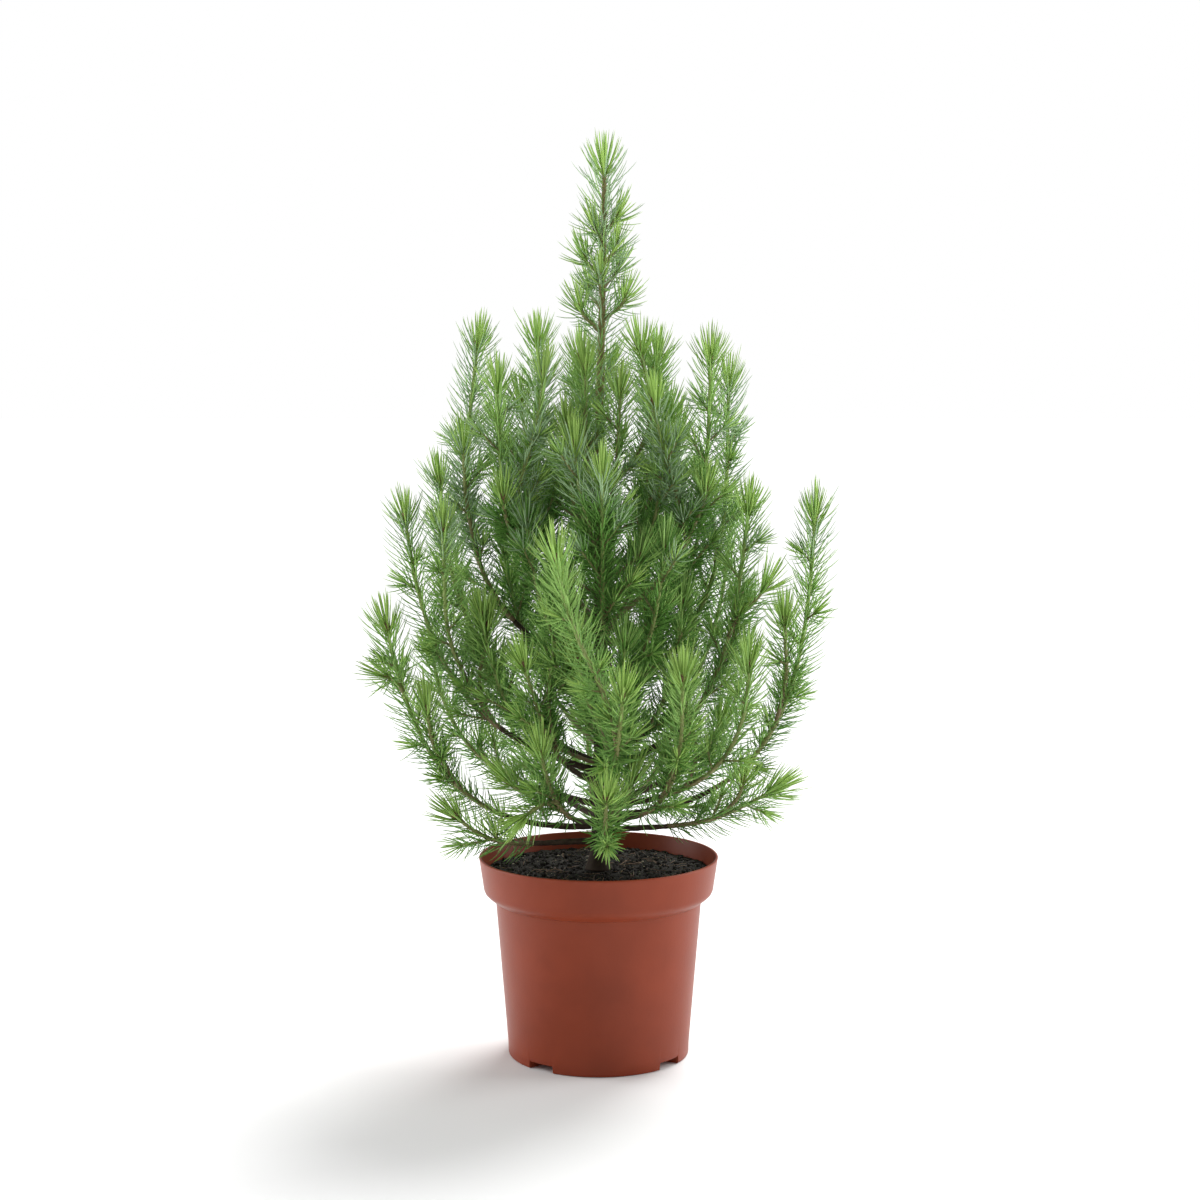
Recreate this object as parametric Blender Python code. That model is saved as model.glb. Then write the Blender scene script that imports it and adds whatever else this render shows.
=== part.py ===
"""A young stone pine with its juvenile needles, in the plastic pot it is sold in.

World frame in metres: +Z up, origin under the middle of the pot, the front of the plant
towards -Y. A bearing is an angle in degrees round the trunk, 0 at the front and 90 at +X.
"""
import math
import random
from collections import namedtuple

import bmesh
import bpy
from mathutils import Vector
from mathutils.kdtree import KDTree

# Clear distance between two pieces that touch on the real plant
GAP = 0.0003

# Pot, turned round Z
POT_HEIGHT = 0.109
RIM_RADIUS = 0.065
RIM_FOOT_RADIUS = 0.0623
RIM_DEPTH = 0.0185
NECK_DROP = 0.0055
NECK_RADIUS = 0.0559
BASE_RADIUS = 0.0493
BASE_EDGE = 0.001
WALL = 0.0014
FLOOR = 0.0016
CHANNEL_RADIUS = 0.034
CHANNEL_RISE = 0.0042
POT_SEGMENTS = 40
NOTCH_BEARINGS = (51, 141, 231, 321)
NOTCH_WIDTH = 0.0158
NOTCH_SLOPE = 0.0012
NOTCH_HEIGHT = 0.0037
NOTCH_INNER = 0.036
DRAIN_RADIUS = 0.0035
DRAIN_FROM_AXIS = 0.0425

# Peat in the pot
SOIL_TOP = 0.1000
SOIL_CROWN = 0.0012
SOIL_PLATEAU = 0.012
SOIL_SEGMENTS = 24

# Trunk, from a flat cut on the peat to the leader's bud
TRUNK_FOOT = SOIL_TOP + SOIL_CROWN + GAP
TRUNK_TIP = 0.4815
TRUNK_RADIUS = 0.0044
TRUNK_TIP_RADIUS = 0.0012
FLARE_RADIUS = 0.0034
FLARE_HEIGHT = 0.006
TRUNK_LEAN = 0.0022
TRUNK_SWAY = 0.0009
TRUNK_SIDES = 8
TRUNK_RINGS = 16

# Limbs
BOUGH_RADIUS = 0.0019
STEM_RADIUS = 0.0014
STEM_TIP_RADIUS = 0.0010
BOUGH_SIDES = 5
BOUGH_RINGS = 5
TWIG_SIDES = 3
CURVE_POINTS = 40
QUARTER = 0.55
SHADED = 0.28
FORK_SHADED = 0.010
FORK_CLEAR = 0.005
BARE_STEP = 0.018

# Needles, fewer and stouter than on the plant: a twig's rings turn by TWIG_TURN from one
# to the next, and every triangle that stands on a lower ring is drawn out into a needle
NEEDLE_STEP = 0.0056
NEEDLE_LENGTH = 0.0185
NEEDLE_SPREAD = 64
NEEDLE_SPREAD_TIP = 50
TWIG_TURN = 77
TUFT_STEP = 0.0022
TUFT_SPREADS = (34, 22)
TUFT_LENGTH = 0.0205
TUFT_REACH = 0.013
NEEDLE_JITTER = 5
GOLDEN_ANGLE = 137.5
SPACE_MARGIN = 0.0026
SIBLING_MARGIN = 0.0008
LIMB_MARGIN = 0.0016
POT_MARGIN = 0.0015
SHORTER = (1.0, 0.8, 0.6)
SEED = 7

# A fork leaves its limb after a share of the limb's length and has its own tip.
Fork = namedtuple("Fork", "share bearing reach height")

# A limb leaves the trunk at root and its tuft ends at bearing, reach and height, in
# millimetres.
# leave and arrive are its slopes in degrees at its two ends, bare is the share of its
# length that is a bough without needles, or 0 where foliage starts at the trunk, and sweep
# is how far it runs outwards before it turns up.
Limb = namedtuple("Limb", "name root bearing reach height leave arrive bare forks sweep",
                  defaults=(0.55,))

LIMBS = (
    Limb("low_left", 125, 275, 116, 247, -2, 80, 0.25,
         (Fork(0.40, 286, 96, 206), Fork(0.74, 284, 121, 219), Fork(0.76, 264, 107, 216)), 0.72),
    Limb("lowest_left", 117, 291, 90, 146, 3, 50, 0.35, (Fork(0.55, 301, 62, 136),)),
    Limb("front_left_low", 128, 334, 73, 189, 8, 70, 0.30,
         (Fork(0.36, 308, 68, 168), Fork(0.50, 328, 88, 143))),
    Limb("front_low", 121, 3, 84, 166, 6, 62, 0.35, (Fork(0.36, 22, 56, 173),)),
    Limb("front_right_low", 129, 37, 74, 181, 10, 70, 0.35, (Fork(0.55, 28, 92, 229),)),
    Limb("lowest_right", 123, 87, 106, 152, 4, 30, 0.30, (Fork(0.55, 73, 82, 166),)),
    Limb("low_right", 131, 92, 117, 306, 2, 88, 0.25,
         (Fork(0.46, 82, 100, 252), Fork(0.40, 101, 108, 206)), 0.85),
    Limb("low_right_back", 137, 122, 100, 226, 10, 80, 0.30, (Fork(0.45, 113, 76, 192),), 0.7),
    Limb("low_back_right", 129, 152, 104, 196, 4, 75, 0.30, (Fork(0.45, 139, 78, 176),)),
    Limb("low_back", 122, 184, 112, 214, 2, 82, 0.30, (Fork(0.40, 170, 84, 160),), 0.7),
    Limb("low_back_left", 130, 214, 104, 202, 6, 76, 0.30, (Fork(0.45, 203, 76, 178),)),
    Limb("low_left_back", 137, 246, 104, 226, 8, 80, 0.30, (Fork(0.45, 237, 78, 178),), 0.7),
    Limb("front_mid", 158, 7, 105, 222, 6, 64, 0.28,
         (Fork(0.58, 347, 100, 291), Fork(0.34, 348, 60, 236))),
    Limb("right_mid", 137, 60, 89, 232, 8, 96, 0.28, (Fork(0.34, 52, 54, 222),), 0.8),
    Limb("right_upper_mid", 158, 83, 82, 312, 18, 84, 0.28,
         (Fork(0.55, 76, 95, 270), Fork(0.34, 95, 80, 256))),
    Limb("right_back_mid", 163, 126, 93, 302, 16, 86, 0.28, (Fork(0.30, 128, 54, 306),)),
    Limb("left_back_mid", 160, 240, 96, 296, 16, 84, 0.28, (Fork(0.42, 257, 90, 324),)),
    Limb("left_mid", 156, 272, 105, 306, 16, 84, 0.28,
         (Fork(0.30, 294, 90, 302), Fork(0.28, 291, 62, 250))),
    Limb("front_left_mid", 150, 325, 74, 232, 20, 60, 0.28, (Fork(0.35, 339, 58, 262),)),
    Limb("left_upper", 206, 262, 64, 398, 26, 97, 0.24, (Fork(0.40, 279, 73, 344),), 0.65),
    Limb("back_right_mid", 172, 152, 86, 326, 20, 86, 0, (Fork(0.40, 166, 88, 282),)),
    Limb("back_mid", 178, 186, 92, 306, 20, 84, 0, (Fork(0.40, 198, 84, 262),)),
    Limb("back_left_mid", 170, 216, 88, 322, 20, 86, 0, (Fork(0.40, 226, 72, 266),)),
    Limb("left_front_top", 232, 288, 56, 377, 34, 88, 0,
         (Fork(0.30, 316, 40, 382), Fork(0.34, 305, 62, 318))),
    Limb("front_upper", 206, 2, 58, 331, 18, 84, 0,
         (Fork(0.36, 27, 56, 288), Fork(0.44, 342, 44, 344))),
    Limb("right_top", 236, 70, 63, 391, 34, 88, 0,
         (Fork(0.26, 42, 42, 368), Fork(0.34, 62, 66, 322))),
    Limb("right_back_top", 196, 103, 72, 377, 26, 90, 0, (Fork(0.46, 113, 60, 324),)),
    Limb("back_right_top", 228, 148, 58, 384, 34, 88, 0, (Fork(0.36, 128, 58, 352),)),
    Limb("back_left_top", 236, 222, 50, 400, 36, 88, 0,
         (Fork(0.30, 190, 52, 378), Fork(0.30, 240, 66, 356))),
    Limb("front_lateral", 300, 340, 20, 386, 50, 86, 0, ()),
    Limb("right_lateral", 306, 84, 33, 391, 46, 82, 0, (Fork(0.5, 52, 26, 396),)),
    Limb("back_lateral", 298, 200, 30, 392, 46, 84, 0, (Fork(0.5, 160, 28, 384),)),
)

# The leader above the limbs: its needles stand on a sleeve round the trunk, level ones below
# and a tuft of upright ones at the top, and short side shoots climb round it by the golden
# angle, shorter towards the tip.
LEADER_FOOT = 0.3120
LEADER_TOP = 0.4800
LEADER_WALL = 0.0010
LEADER_CLEARANCE = 1.5 * GAP
LEADER_INNER_RINGS = 6
LEADER_STEP = 0.0056
LEADER_NEEDLES = 4
LEADER_SLOPE = 34
LEADER_TUFT_SLOPE = 80
LEADER_TUFT_FOOT = 0.4560
LEADER_TUFT_LENGTH = 0.0245
SIDE_SHOOTS = 10
SIDE_SHOOT_FIRST = 0.392
SIDE_SHOOT_LAST = 0.446
SIDE_SHOOT_LONG = 0.018
SIDE_SHOOT_SHORT = 0.009
SIDE_SHOOT_SLOPE = 50
SIDE_SHOOT_BARE = 0.004
SIDE_SHOOT_BEARING = 300
SIDE_SHOOT_RADIUS = 0.0011

TERRACOTTA = (0.33, 0.085, 0.038)
PEAT = (0.018, 0.012, 0.008)
BARK = (0.060, 0.036, 0.022)
NEEDLE_GREEN = (0.095, 0.230, 0.045)


def direction(bearing, slope):
    """Unit vector at a bearing round the trunk and a slope above level, both in degrees."""
    turn = math.radians(bearing)
    rise = math.radians(slope)
    return Vector((math.sin(turn) * math.cos(rise), -math.cos(turn) * math.cos(rise),
                   math.sin(rise)))


def place(bearing, reach, height):
    """Point at a bearing and at a reach and a height in millimetres."""
    return direction(bearing, 0) * (reach / 1000) + Vector((0, 0, height / 1000))


def trunk_radius(height):
    """Trunk radius at a height: an even taper, and a flare that dies away above the peat."""
    rise = (height - TRUNK_FOOT) / (TRUNK_TIP - TRUNK_FOOT)
    taper = TRUNK_RADIUS + (TRUNK_TIP_RADIUS - TRUNK_RADIUS) * rise
    return taper + FLARE_RADIUS * math.exp(-(height - TRUNK_FOOT) / FLARE_HEIGHT)


def trunk_middle(height):
    """Middle of the trunk at a height: a slight lean to the right with a slow sway."""
    rise = (height - TRUNK_FOOT) / (TRUNK_TIP - TRUNK_FOOT)
    sway = TRUNK_SWAY * math.sin(2.6 * math.pi * rise)
    return Vector((TRUNK_LEAN * rise + sway, -0.7 * sway, height))


def curve_points(start, leave, tip, arrive, sweep=QUARTER, count=CURVE_POINTS):
    """Evenly spaced points of the curve that leaves start along leave and meets tip along
    arrive. Both are unit vectors, and each handle is a share of the way that the chord goes
    in its direction: at QUARTER the curve is close to a quarter of an ellipse."""
    chord = tip - start
    least = 0.25 * chord.length
    first = start + leave * sweep * max(chord.dot(leave), least)
    second = tip - arrive * QUARTER * max(chord.dot(arrive), least)
    fine = []
    for i in range(4 * count + 1):
        t = i / (4 * count)
        u = 1 - t
        fine.append(start * u ** 3 + first * 3 * u * u * t + second * 3 * u * t * t + tip * t ** 3)
    return resample(fine, count)


def lengths_along(points):
    """Length from the first point to each point."""
    total = [0.0]
    for a, b in zip(points, points[1:]):
        total.append(total[-1] + (b - a).length)
    return total


def point_at(points, lengths, wanted):
    """Point at a length along a line of points."""
    for i in range(1, len(points)):
        if lengths[i] >= wanted or i == len(points) - 1:
            step = lengths[i] - lengths[i - 1]
            share = (wanted - lengths[i - 1]) / step
            return points[i - 1].lerp(points[i], share)
    return points[-1].copy()


def resample(points, count, start=0.0, end=None):
    """Count points, evenly spaced between two lengths along a line of points."""
    lengths = lengths_along(points)
    stop = lengths[-1] if end is None else end
    wanted = [start + (stop - start) * i / (count - 1) for i in range(count)]
    return [point_at(points, lengths, w) for w in wanted]


def tangents(points):
    """Unit direction of a line of points at each of its points."""
    found = []
    for i in range(len(points)):
        ahead = points[min(i + 1, len(points) - 1)]
        behind = points[max(i - 1, 0)]
        found.append((ahead - behind).normalized())
    return found


def across(axis, turn):
    """Unit vector square to an axis, at an angle in degrees round it."""
    side = axis.cross(Vector((0, 0, 1)))
    if side.length < 0.2:
        side = axis.cross(Vector((0, 1, 0)))
    side.normalize()
    up = side.cross(axis)
    angle = math.radians(turn)
    return side * math.cos(angle) + up * math.sin(angle)


def rings_along(points, radii, sides, turns=None):
    """A ring of corners round each point, carried along without twisting, or turned on by
    the given degrees."""
    rings = []
    axes = tangents(points)
    side = across(axes[0], 0)
    for k, (point, radius, axis) in enumerate(zip(points, radii, axes)):
        side = (side - axis * side.dot(axis)).normalized()
        up = axis.cross(side)
        turn = math.radians(turns[k]) if turns else 0
        angles = [turn + 2 * math.pi * n / sides for n in range(sides)]
        rings.append([point + (side * math.cos(a) + up * math.sin(a)) * radius for a in angles])
    return rings


def skin(mesh, rings, closed=False):
    """Faces between rings of corners, with flat ends, or joined end to start."""
    made = [[mesh.verts.new(corner) for corner in ring] for ring in rings]
    pairs = list(zip(made, made[1:]))
    if closed:
        pairs.append((made[-1], made[0]))
    for low, high in pairs:
        for k in range(len(low)):
            n = (k + 1) % len(low)
            mesh.faces.new((low[k], low[n], high[n], high[k]))
    if not closed:
        mesh.faces.new(list(reversed(made[0])))
        mesh.faces.new(made[-1])


def object_from(name, mesh, material=None):
    """New object in the scene from a bmesh, its faces turned outwards."""
    bmesh.ops.recalc_face_normals(mesh, faces=mesh.faces)
    data = bpy.data.meshes.new(name)
    mesh.to_mesh(data)
    mesh.free()
    made = bpy.data.objects.new(name, data)
    bpy.context.scene.collection.objects.link(made)
    if material:
        data.materials.append(material)
    return made


def make_material(name, colour, roughness):
    """Plain Principled material."""
    material = bpy.data.materials.new(name)
    material.use_nodes = True
    shader = material.node_tree.nodes["Principled BSDF"]
    shader.inputs["Base Color"].default_value = (*colour, 1)
    shader.inputs["Roughness"].default_value = roughness
    shader.inputs["Metallic"].default_value = 0
    return material


def turned(name, profile, segments, material):
    """Solid turned round Z from a closed profile of (radius, height). A radius of 0 at the
    profile's two ends puts a pole there."""
    mesh = bmesh.new()
    columns = []
    for radius, height in profile:
        if radius == 0:
            columns.append([mesh.verts.new((0, 0, height))])
            continue
        turns = [2 * math.pi * k / segments for k in range(segments)]
        columns.append([mesh.verts.new((radius * math.cos(t), radius * math.sin(t), height))
                        for t in turns])
    for low, high in zip(columns, columns[1:]):
        for k in range(segments):
            n = (k + 1) % segments
            corners = [low[k % len(low)], low[n % len(low)], high[n % len(high)],
                       high[k % len(high)]]
            mesh.faces.new(list(dict.fromkeys(corners)))
    return object_from(name, mesh, material)


def pot_outside():
    """Outer profile of the pot from the foot to the lip."""
    neck = POT_HEIGHT - RIM_DEPTH - NECK_DROP
    return [
        (BASE_RADIUS - BASE_EDGE, 0),
        (BASE_RADIUS, BASE_EDGE),
        (NECK_RADIUS, neck),
        (NECK_RADIUS + 0.0024, neck + 0.0022),
        (RIM_FOOT_RADIUS - 0.0012, neck + 0.0038),
        (RIM_FOOT_RADIUS, POT_HEIGHT - RIM_DEPTH),
        (RIM_RADIUS, POT_HEIGHT - 0.0010),
        (RIM_RADIUS - 0.0004, POT_HEIGHT),
    ]


def pot_inside():
    """Inner profile of the pot from the lip down to the middle of its floor."""
    neck = POT_HEIGHT - RIM_DEPTH - NECK_DROP
    channel = FLOOR + CHANNEL_RISE
    return [
        (RIM_RADIUS - WALL, POT_HEIGHT),
        (RIM_FOOT_RADIUS - WALL, POT_HEIGHT - RIM_DEPTH),
        (NECK_RADIUS - WALL, neck),
        (BASE_RADIUS - WALL, channel),
        (CHANNEL_RADIUS, channel),
        (CHANNEL_RADIUS - 0.003, FLOOR),
        (0, FLOOR),
    ]


def make_cutter(name):
    """Hidden object for the pot's cutouts: four notches in the foot and a hole over each."""
    mesh = bmesh.new()
    half = NOTCH_WIDTH / 2
    low = -0.002
    for bearing in NOTCH_BEARINGS:
        outward = direction(bearing, 0)
        side = direction(bearing + 90, 0)
        ends = []
        for reach in (NOTCH_INNER, BASE_RADIUS + 0.004):
            ends.append([outward * reach + side * s + Vector((0, 0, h)) for s, h in (
                (-half, low), (half, low), (half - NOTCH_SLOPE, NOTCH_HEIGHT),
                (-half + NOTCH_SLOPE, NOTCH_HEIGHT))])
        skin(mesh, ends)
    notches = object_from(name, mesh)
    mesh = bmesh.new()
    for bearing in NOTCH_BEARINGS:
        middle = direction(bearing, 0) * DRAIN_FROM_AXIS
        foot = middle + Vector((0, 0, NOTCH_HEIGHT - 0.001))
        head = middle + Vector((0, 0, FLOOR + CHANNEL_RISE + 0.001))
        skin(mesh, rings_along([foot, head], [DRAIN_RADIUS] * 2, 10))
    drains = object_from(name + "_drains", mesh)
    for cutter in (notches, drains):
        cutter.hide_render = True
        cutter.display_type = "WIRE"
    return notches, drains


def make_pot(material):
    """Pot with a banded rim, a stepped neck and four drainage notches in its foot."""
    pot = turned("pot", [(0, 0)] + pot_outside() + pot_inside(), POT_SEGMENTS, material)
    for cutter in make_cutter("notch_cutter"):
        cut = pot.modifiers.new("cut", "BOOLEAN")
        cut.operation = "DIFFERENCE"
        cut.solver = "EXACT"
        cut.object = cutter
    return pot


def make_soil(material):
    """Peat that fills the pot to a little under its rim, level round the trunk."""
    neck = POT_HEIGHT - RIM_DEPTH - NECK_DROP
    channel = FLOOR + CHANNEL_RISE + GAP
    wall = WALL + GAP
    slope = (RIM_RADIUS - RIM_FOOT_RADIUS) / RIM_DEPTH
    edge = RIM_FOOT_RADIUS - wall + slope * (SOIL_TOP - POT_HEIGHT + RIM_DEPTH)
    profile = [
        (0, FLOOR + GAP),
        (CHANNEL_RADIUS - 0.003 - 2 * GAP, FLOOR + GAP),
        (CHANNEL_RADIUS - 2 * GAP, channel),
        (BASE_RADIUS - wall - GAP, channel),
        (NECK_RADIUS - wall - GAP, neck),
        (RIM_FOOT_RADIUS - wall - GAP, POT_HEIGHT - RIM_DEPTH),
        (edge - GAP, SOIL_TOP),
        (SOIL_PLATEAU * 3, SOIL_TOP + SOIL_CROWN * 0.4),
        (SOIL_PLATEAU, SOIL_TOP + SOIL_CROWN),
        (0, SOIL_TOP + SOIL_CROWN),
    ]
    return turned("soil", profile, SOIL_SEGMENTS, material)


def make_trunk(material):
    """Trunk from its flat cut and root flare to the leader's bud."""
    heights = [TRUNK_FOOT + FLARE_HEIGHT * k for k in (0, 0.5, 1.2, 2.5)]
    rest = TRUNK_RINGS - len(heights)
    start = heights[-1]
    heights += [start + (TRUNK_TIP - start) * (k + 1) / rest for k in range(rest)]
    points = [trunk_middle(h) for h in heights]
    mesh = bmesh.new()
    skin(mesh, [level_ring(p, trunk_radius(p.z), TRUNK_SIDES) for p in points])
    return object_from("trunk", mesh, material)


def level_ring(middle, radius, sides, turn=0):
    """Corners of a level ring, turned by degrees."""
    turns = [2 * math.pi * k / sides + math.radians(turn) for k in range(sides)]
    return [middle + Vector((math.cos(t), math.sin(t), 0)) * radius for t in turns]


def limb_curve(limb):
    """Middle line of a limb, from the trunk's surface to its tip."""
    root = limb.root / 1000
    outward = direction(limb.bearing, 0)
    start = trunk_middle(root) + outward * (trunk_radius(root) + GAP)
    return curve_points(start, direction(limb.bearing, limb.leave),
                        place(limb.bearing, limb.reach, limb.height),
                        direction(limb.bearing, limb.arrive), limb.sweep)


def fork_curve(parent, fork, bare):
    """Middle line of a fork: it leaves along its parent, clear of the bare length, and turns
    up to its own tip."""
    lengths = lengths_along(parent)
    left = max(fork.share * lengths[-1], bare + FORK_CLEAR)
    start = point_at(parent, lengths, left)
    along = tangents(parent)[round(left / lengths[-1] * (len(parent) - 1))]
    tip = place(fork.bearing, fork.reach, fork.height)
    leave = (along + (tip - start).normalized()).normalized()
    arrive = ((tip - start).normalized() + Vector((0, 0, 1.6))).normalized()
    return curve_points(start, leave, tip, arrive)


def bare_length(limb, curve):
    """Length of a limb's bough, without needles."""
    return limb.bare * lengths_along(curve)[-1]


def square_root_end(ring, axis, limb):
    """First ring of a limb slid along its axis on to the plane that lies against the trunk."""
    root = limb.root / 1000
    outward = direction(limb.bearing, 0)
    plane = trunk_middle(root) + outward * (trunk_radius(root) + GAP)
    return [corner + axis * ((plane - corner).dot(outward) / axis.dot(outward))
            for corner in ring]


def make_bough(limb, material):
    """Bare inner length of a limb."""
    curve = limb_curve(limb)
    points = resample(curve, BOUGH_RINGS, 0, bare_length(limb, curve))
    steps = [k / (BOUGH_RINGS - 1) for k in range(BOUGH_RINGS)]
    radii = [BOUGH_RADIUS + (STEM_RADIUS - BOUGH_RADIUS) * s for s in steps]
    mesh = bmesh.new()
    rings = rings_along(points, radii, BOUGH_SIDES)
    rings[0] = square_root_end(rings[0], tangents(points)[0], limb)
    skin(mesh, rings)
    return object_from("bough_" + limb.name, mesh, material)


def leafy_curves(limb):
    """Middle lines of a limb's foliage: the stem past its bough, then its forks."""
    curve = limb_curve(limb)
    length = lengths_along(curve)[-1]
    start = bare_length(limb, curve) + GAP if limb.bare else 0
    bare = bare_length(limb, curve)
    found = [resample(curve, CURVE_POINTS, start, length - TUFT_REACH)]
    for fork in limb.forks:
        whole = fork_curve(curve, fork, bare)
        found.append(resample(whole, CURVE_POINTS, 0, lengths_along(whole)[-1] - TUFT_REACH))
    return found


def side_shoots():
    """Middle lines of the leader's side shoots, which climb round it by the golden angle."""
    shoots = []
    for k in range(SIDE_SHOOTS):
        climb = k / (SIDE_SHOOTS - 1)
        height = SIDE_SHOOT_FIRST + (SIDE_SHOOT_LAST - SIDE_SHOOT_FIRST) * climb
        bearing = SIDE_SHOOT_BEARING + GOLDEN_ANGLE * k
        length = SIDE_SHOOT_LONG + (SIDE_SHOOT_SHORT - SIDE_SHOOT_LONG) * climb
        outward = direction(bearing, 0)
        start = trunk_middle(height) + outward * (trunk_radius(height) + 2.5 * GAP)
        leave = direction(bearing, SIDE_SHOOT_SLOPE)
        shoots.append(curve_points(start, leave, start + leave * length,
                                   direction(bearing, SIDE_SHOOT_SLOPE + 25)))
    return shoots


def jittered(way, rng):
    """A direction moved a little to one side."""
    lean = math.radians(rng.uniform(0, NEEDLE_JITTER))
    return (way + across(way, rng.uniform(0, 360)) * math.tan(lean)).normalized()


def draw_out(mesh, corners, middle, axis, spread, length, keep, rng):
    """A triangle of a twig, drawn out into a needle that leans from the twig's axis by the
    spread in degrees, or left flat where the needle has no room."""
    root = sum((c.co for c in corners), Vector()) / 3
    outward = root - middle
    outward = (outward - axis * outward.dot(axis)).normalized()
    lean = math.radians(spread)
    way = jittered(axis * math.cos(lean) + outward * math.sin(lean), rng)
    share = keep(root, way, length)
    if not share:
        mesh.faces.new(corners)
        return
    tip = mesh.verts.new(root + way * length * share)
    for k in range(3):
        mesh.faces.new((corners[k], corners[(k + 1) % 3], tip))


def twig_steps(total, bare):
    """Lengths along a twig at which its rings stand: wide steps where it is bare, even ones
    for its needles and short ones for the tuft."""
    wide = max(math.ceil(bare / BARE_STEP), 1) if bare else 0
    steps = [bare * k / wide for k in range(wide)]
    tuft = total - len(TUFT_SPREADS) * TUFT_STEP
    count = max(round((tuft - bare) / NEEDLE_STEP), 1)
    steps += [bare + (tuft - bare) * k / count for k in range(count + 1)]
    steps += [tuft + TUFT_STEP * (k + 1) for k in range(len(TUFT_SPREADS))]
    return steps, wide


def make_twig(name, curve, bare, radii, keep, rng, limb=None, material=None):
    """One leafy twig: three-sided, bare at its foot, then ringed with needles, with a tuft
    at its tip."""
    lengths = lengths_along(curve)
    total = lengths[-1]
    steps, wide = twig_steps(total, min(bare, 0.8 * total))
    points = [point_at(curve, lengths, step) for step in steps]
    widths = [radii[0] + (radii[1] - radii[0]) * step / total for step in steps]
    start = rng.uniform(0, 360)
    turns = [start + max(k - wide, 0) * TWIG_TURN for k in range(len(steps))]
    rings = rings_along(points, widths, TWIG_SIDES, turns)
    if limb:
        rings[0] = square_root_end(rings[0], tangents(points)[0], limb)
    mesh = bmesh.new()
    made = [[mesh.verts.new(corner) for corner in ring] for ring in rings]
    axes = tangents(points)
    first_tuft = len(steps) - 1 - len(TUFT_SPREADS)
    for k, (low, high) in enumerate(zip(made, made[1:])):
        if k >= first_tuft:
            spread, length = TUFT_SPREADS[k - first_tuft], TUFT_LENGTH
        else:
            climb = (k - wide) / max(first_tuft - wide, 1)
            spread = NEEDLE_SPREAD + (NEEDLE_SPREAD_TIP - NEEDLE_SPREAD) * climb
            length = NEEDLE_LENGTH
        for n in range(TWIG_SIDES):
            m = (n + 1) % TWIG_SIDES
            if k < wide:
                mesh.faces.new((low[n], low[m], high[m], high[n]))
                continue
            draw_out(mesh, (low[n], low[m], high[n]), points[k], axes[k], spread, length, keep,
                     rng)
            mesh.faces.new((high[n], low[m], high[m]))
    mesh.faces.new(list(reversed(made[0])))
    tip = made[-1]
    end = mesh.verts.new(points[-1] + axes[-1] * TUFT_LENGTH)
    for n in range(TWIG_SIDES):
        mesh.faces.new((tip[n], tip[(n + 1) % TWIG_SIDES], end))
    return object_from(name, mesh, material)


def tree_of(points):
    """Search tree of points."""
    made = KDTree(len(points))
    for k, point in enumerate(points):
        made.insert(point, k)
    made.balance()
    return made


class Space:
    """The room of each twig: points nearer to it than to any other twig, and nearer by more
    than a needle's thickness than to a twig of another mass."""

    def __init__(self, masses, limbs):
        self.twigs = {name: [tree_of(c) for c in curves] for name, curves in masses.items()}
        self.others = {}
        for name in masses:
            rest = [p for other, curves in masses.items() if other != name
                    for curve in curves for p in curve]
            self.others[name] = tree_of(rest)
        self.limbs = [(point, radius) for curve in limbs for point, radius in curve]
        self.limb_tree = tree_of([point for point, _ in self.limbs])

    def clear(self, name, twig, root, way, length):
        """Whether a needle stays in its twig's room, off the limbs and out of the pot. With
        twig None it may be anywhere in its mass's room."""
        for share in (0.2, 0.35, 0.5, 0.65, 0.8, 0.9, 1.0):
            point = root + way * (length * share)
            reach = [tree.find(point)[2] for tree in self.twigs[name]]
            own = min(reach) if twig is None else reach.pop(twig)
            if self.others[name].find(point)[2] - own < SPACE_MARGIN:
                return False
            if reach and twig is not None and min(reach) - own < SIBLING_MARGIN:
                return False
            _, k, distance = self.limb_tree.find(point)
            if distance < self.limbs[k][1] + LIMB_MARGIN or in_pot(point):
                return False
        return True

    def keeper(self, name, twig):
        """Function that gives the share of a needle's length that has room, or 0."""
        def keep(root, way, length):
            for share in SHORTER:
                if self.clear(name, twig, root, way, length * share):
                    return share
            return 0
        return keep


def in_pot(point):
    """Whether a point lies in the peat, the pot's wall or close to either."""
    radius = math.hypot(point.x, point.y)
    if point.z > POT_HEIGHT + POT_MARGIN or radius > RIM_RADIUS + POT_MARGIN:
        return False
    return radius > RIM_FOOT_RADIUS - WALL - POT_MARGIN or point.z < SOIL_TOP + 2 * POT_MARGIN


def components(mesh):
    """Sets of connected vertices of a bmesh, largest first."""
    seen = set()
    found = []
    for start in mesh.verts:
        if start.index in seen:
            continue
        group = {start}
        todo = [start]
        while todo:
            for edge in todo.pop().link_edges:
                for vertex in edge.verts:
                    if vertex not in group:
                        group.add(vertex)
                        todo.append(vertex)
        seen.update(v.index for v in group)
        found.append(group)
    return sorted(found, key=len, reverse=True)


def tidy_union(data):
    """Drops loose scraps from a joined mesh and says whether it is closed."""
    mesh = bmesh.new()
    mesh.from_mesh(data)
    bmesh.ops.remove_doubles(mesh, verts=mesh.verts, dist=1e-6)
    mesh.verts.index_update()
    for scrap in components(mesh)[1:]:
        bmesh.ops.delete(mesh, geom=list(scrap), context="VERTS")
    closed = len(mesh.edges) > 0 and all(edge.is_manifold for edge in mesh.edges)
    mesh.to_mesh(data)
    mesh.free()
    return closed


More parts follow.
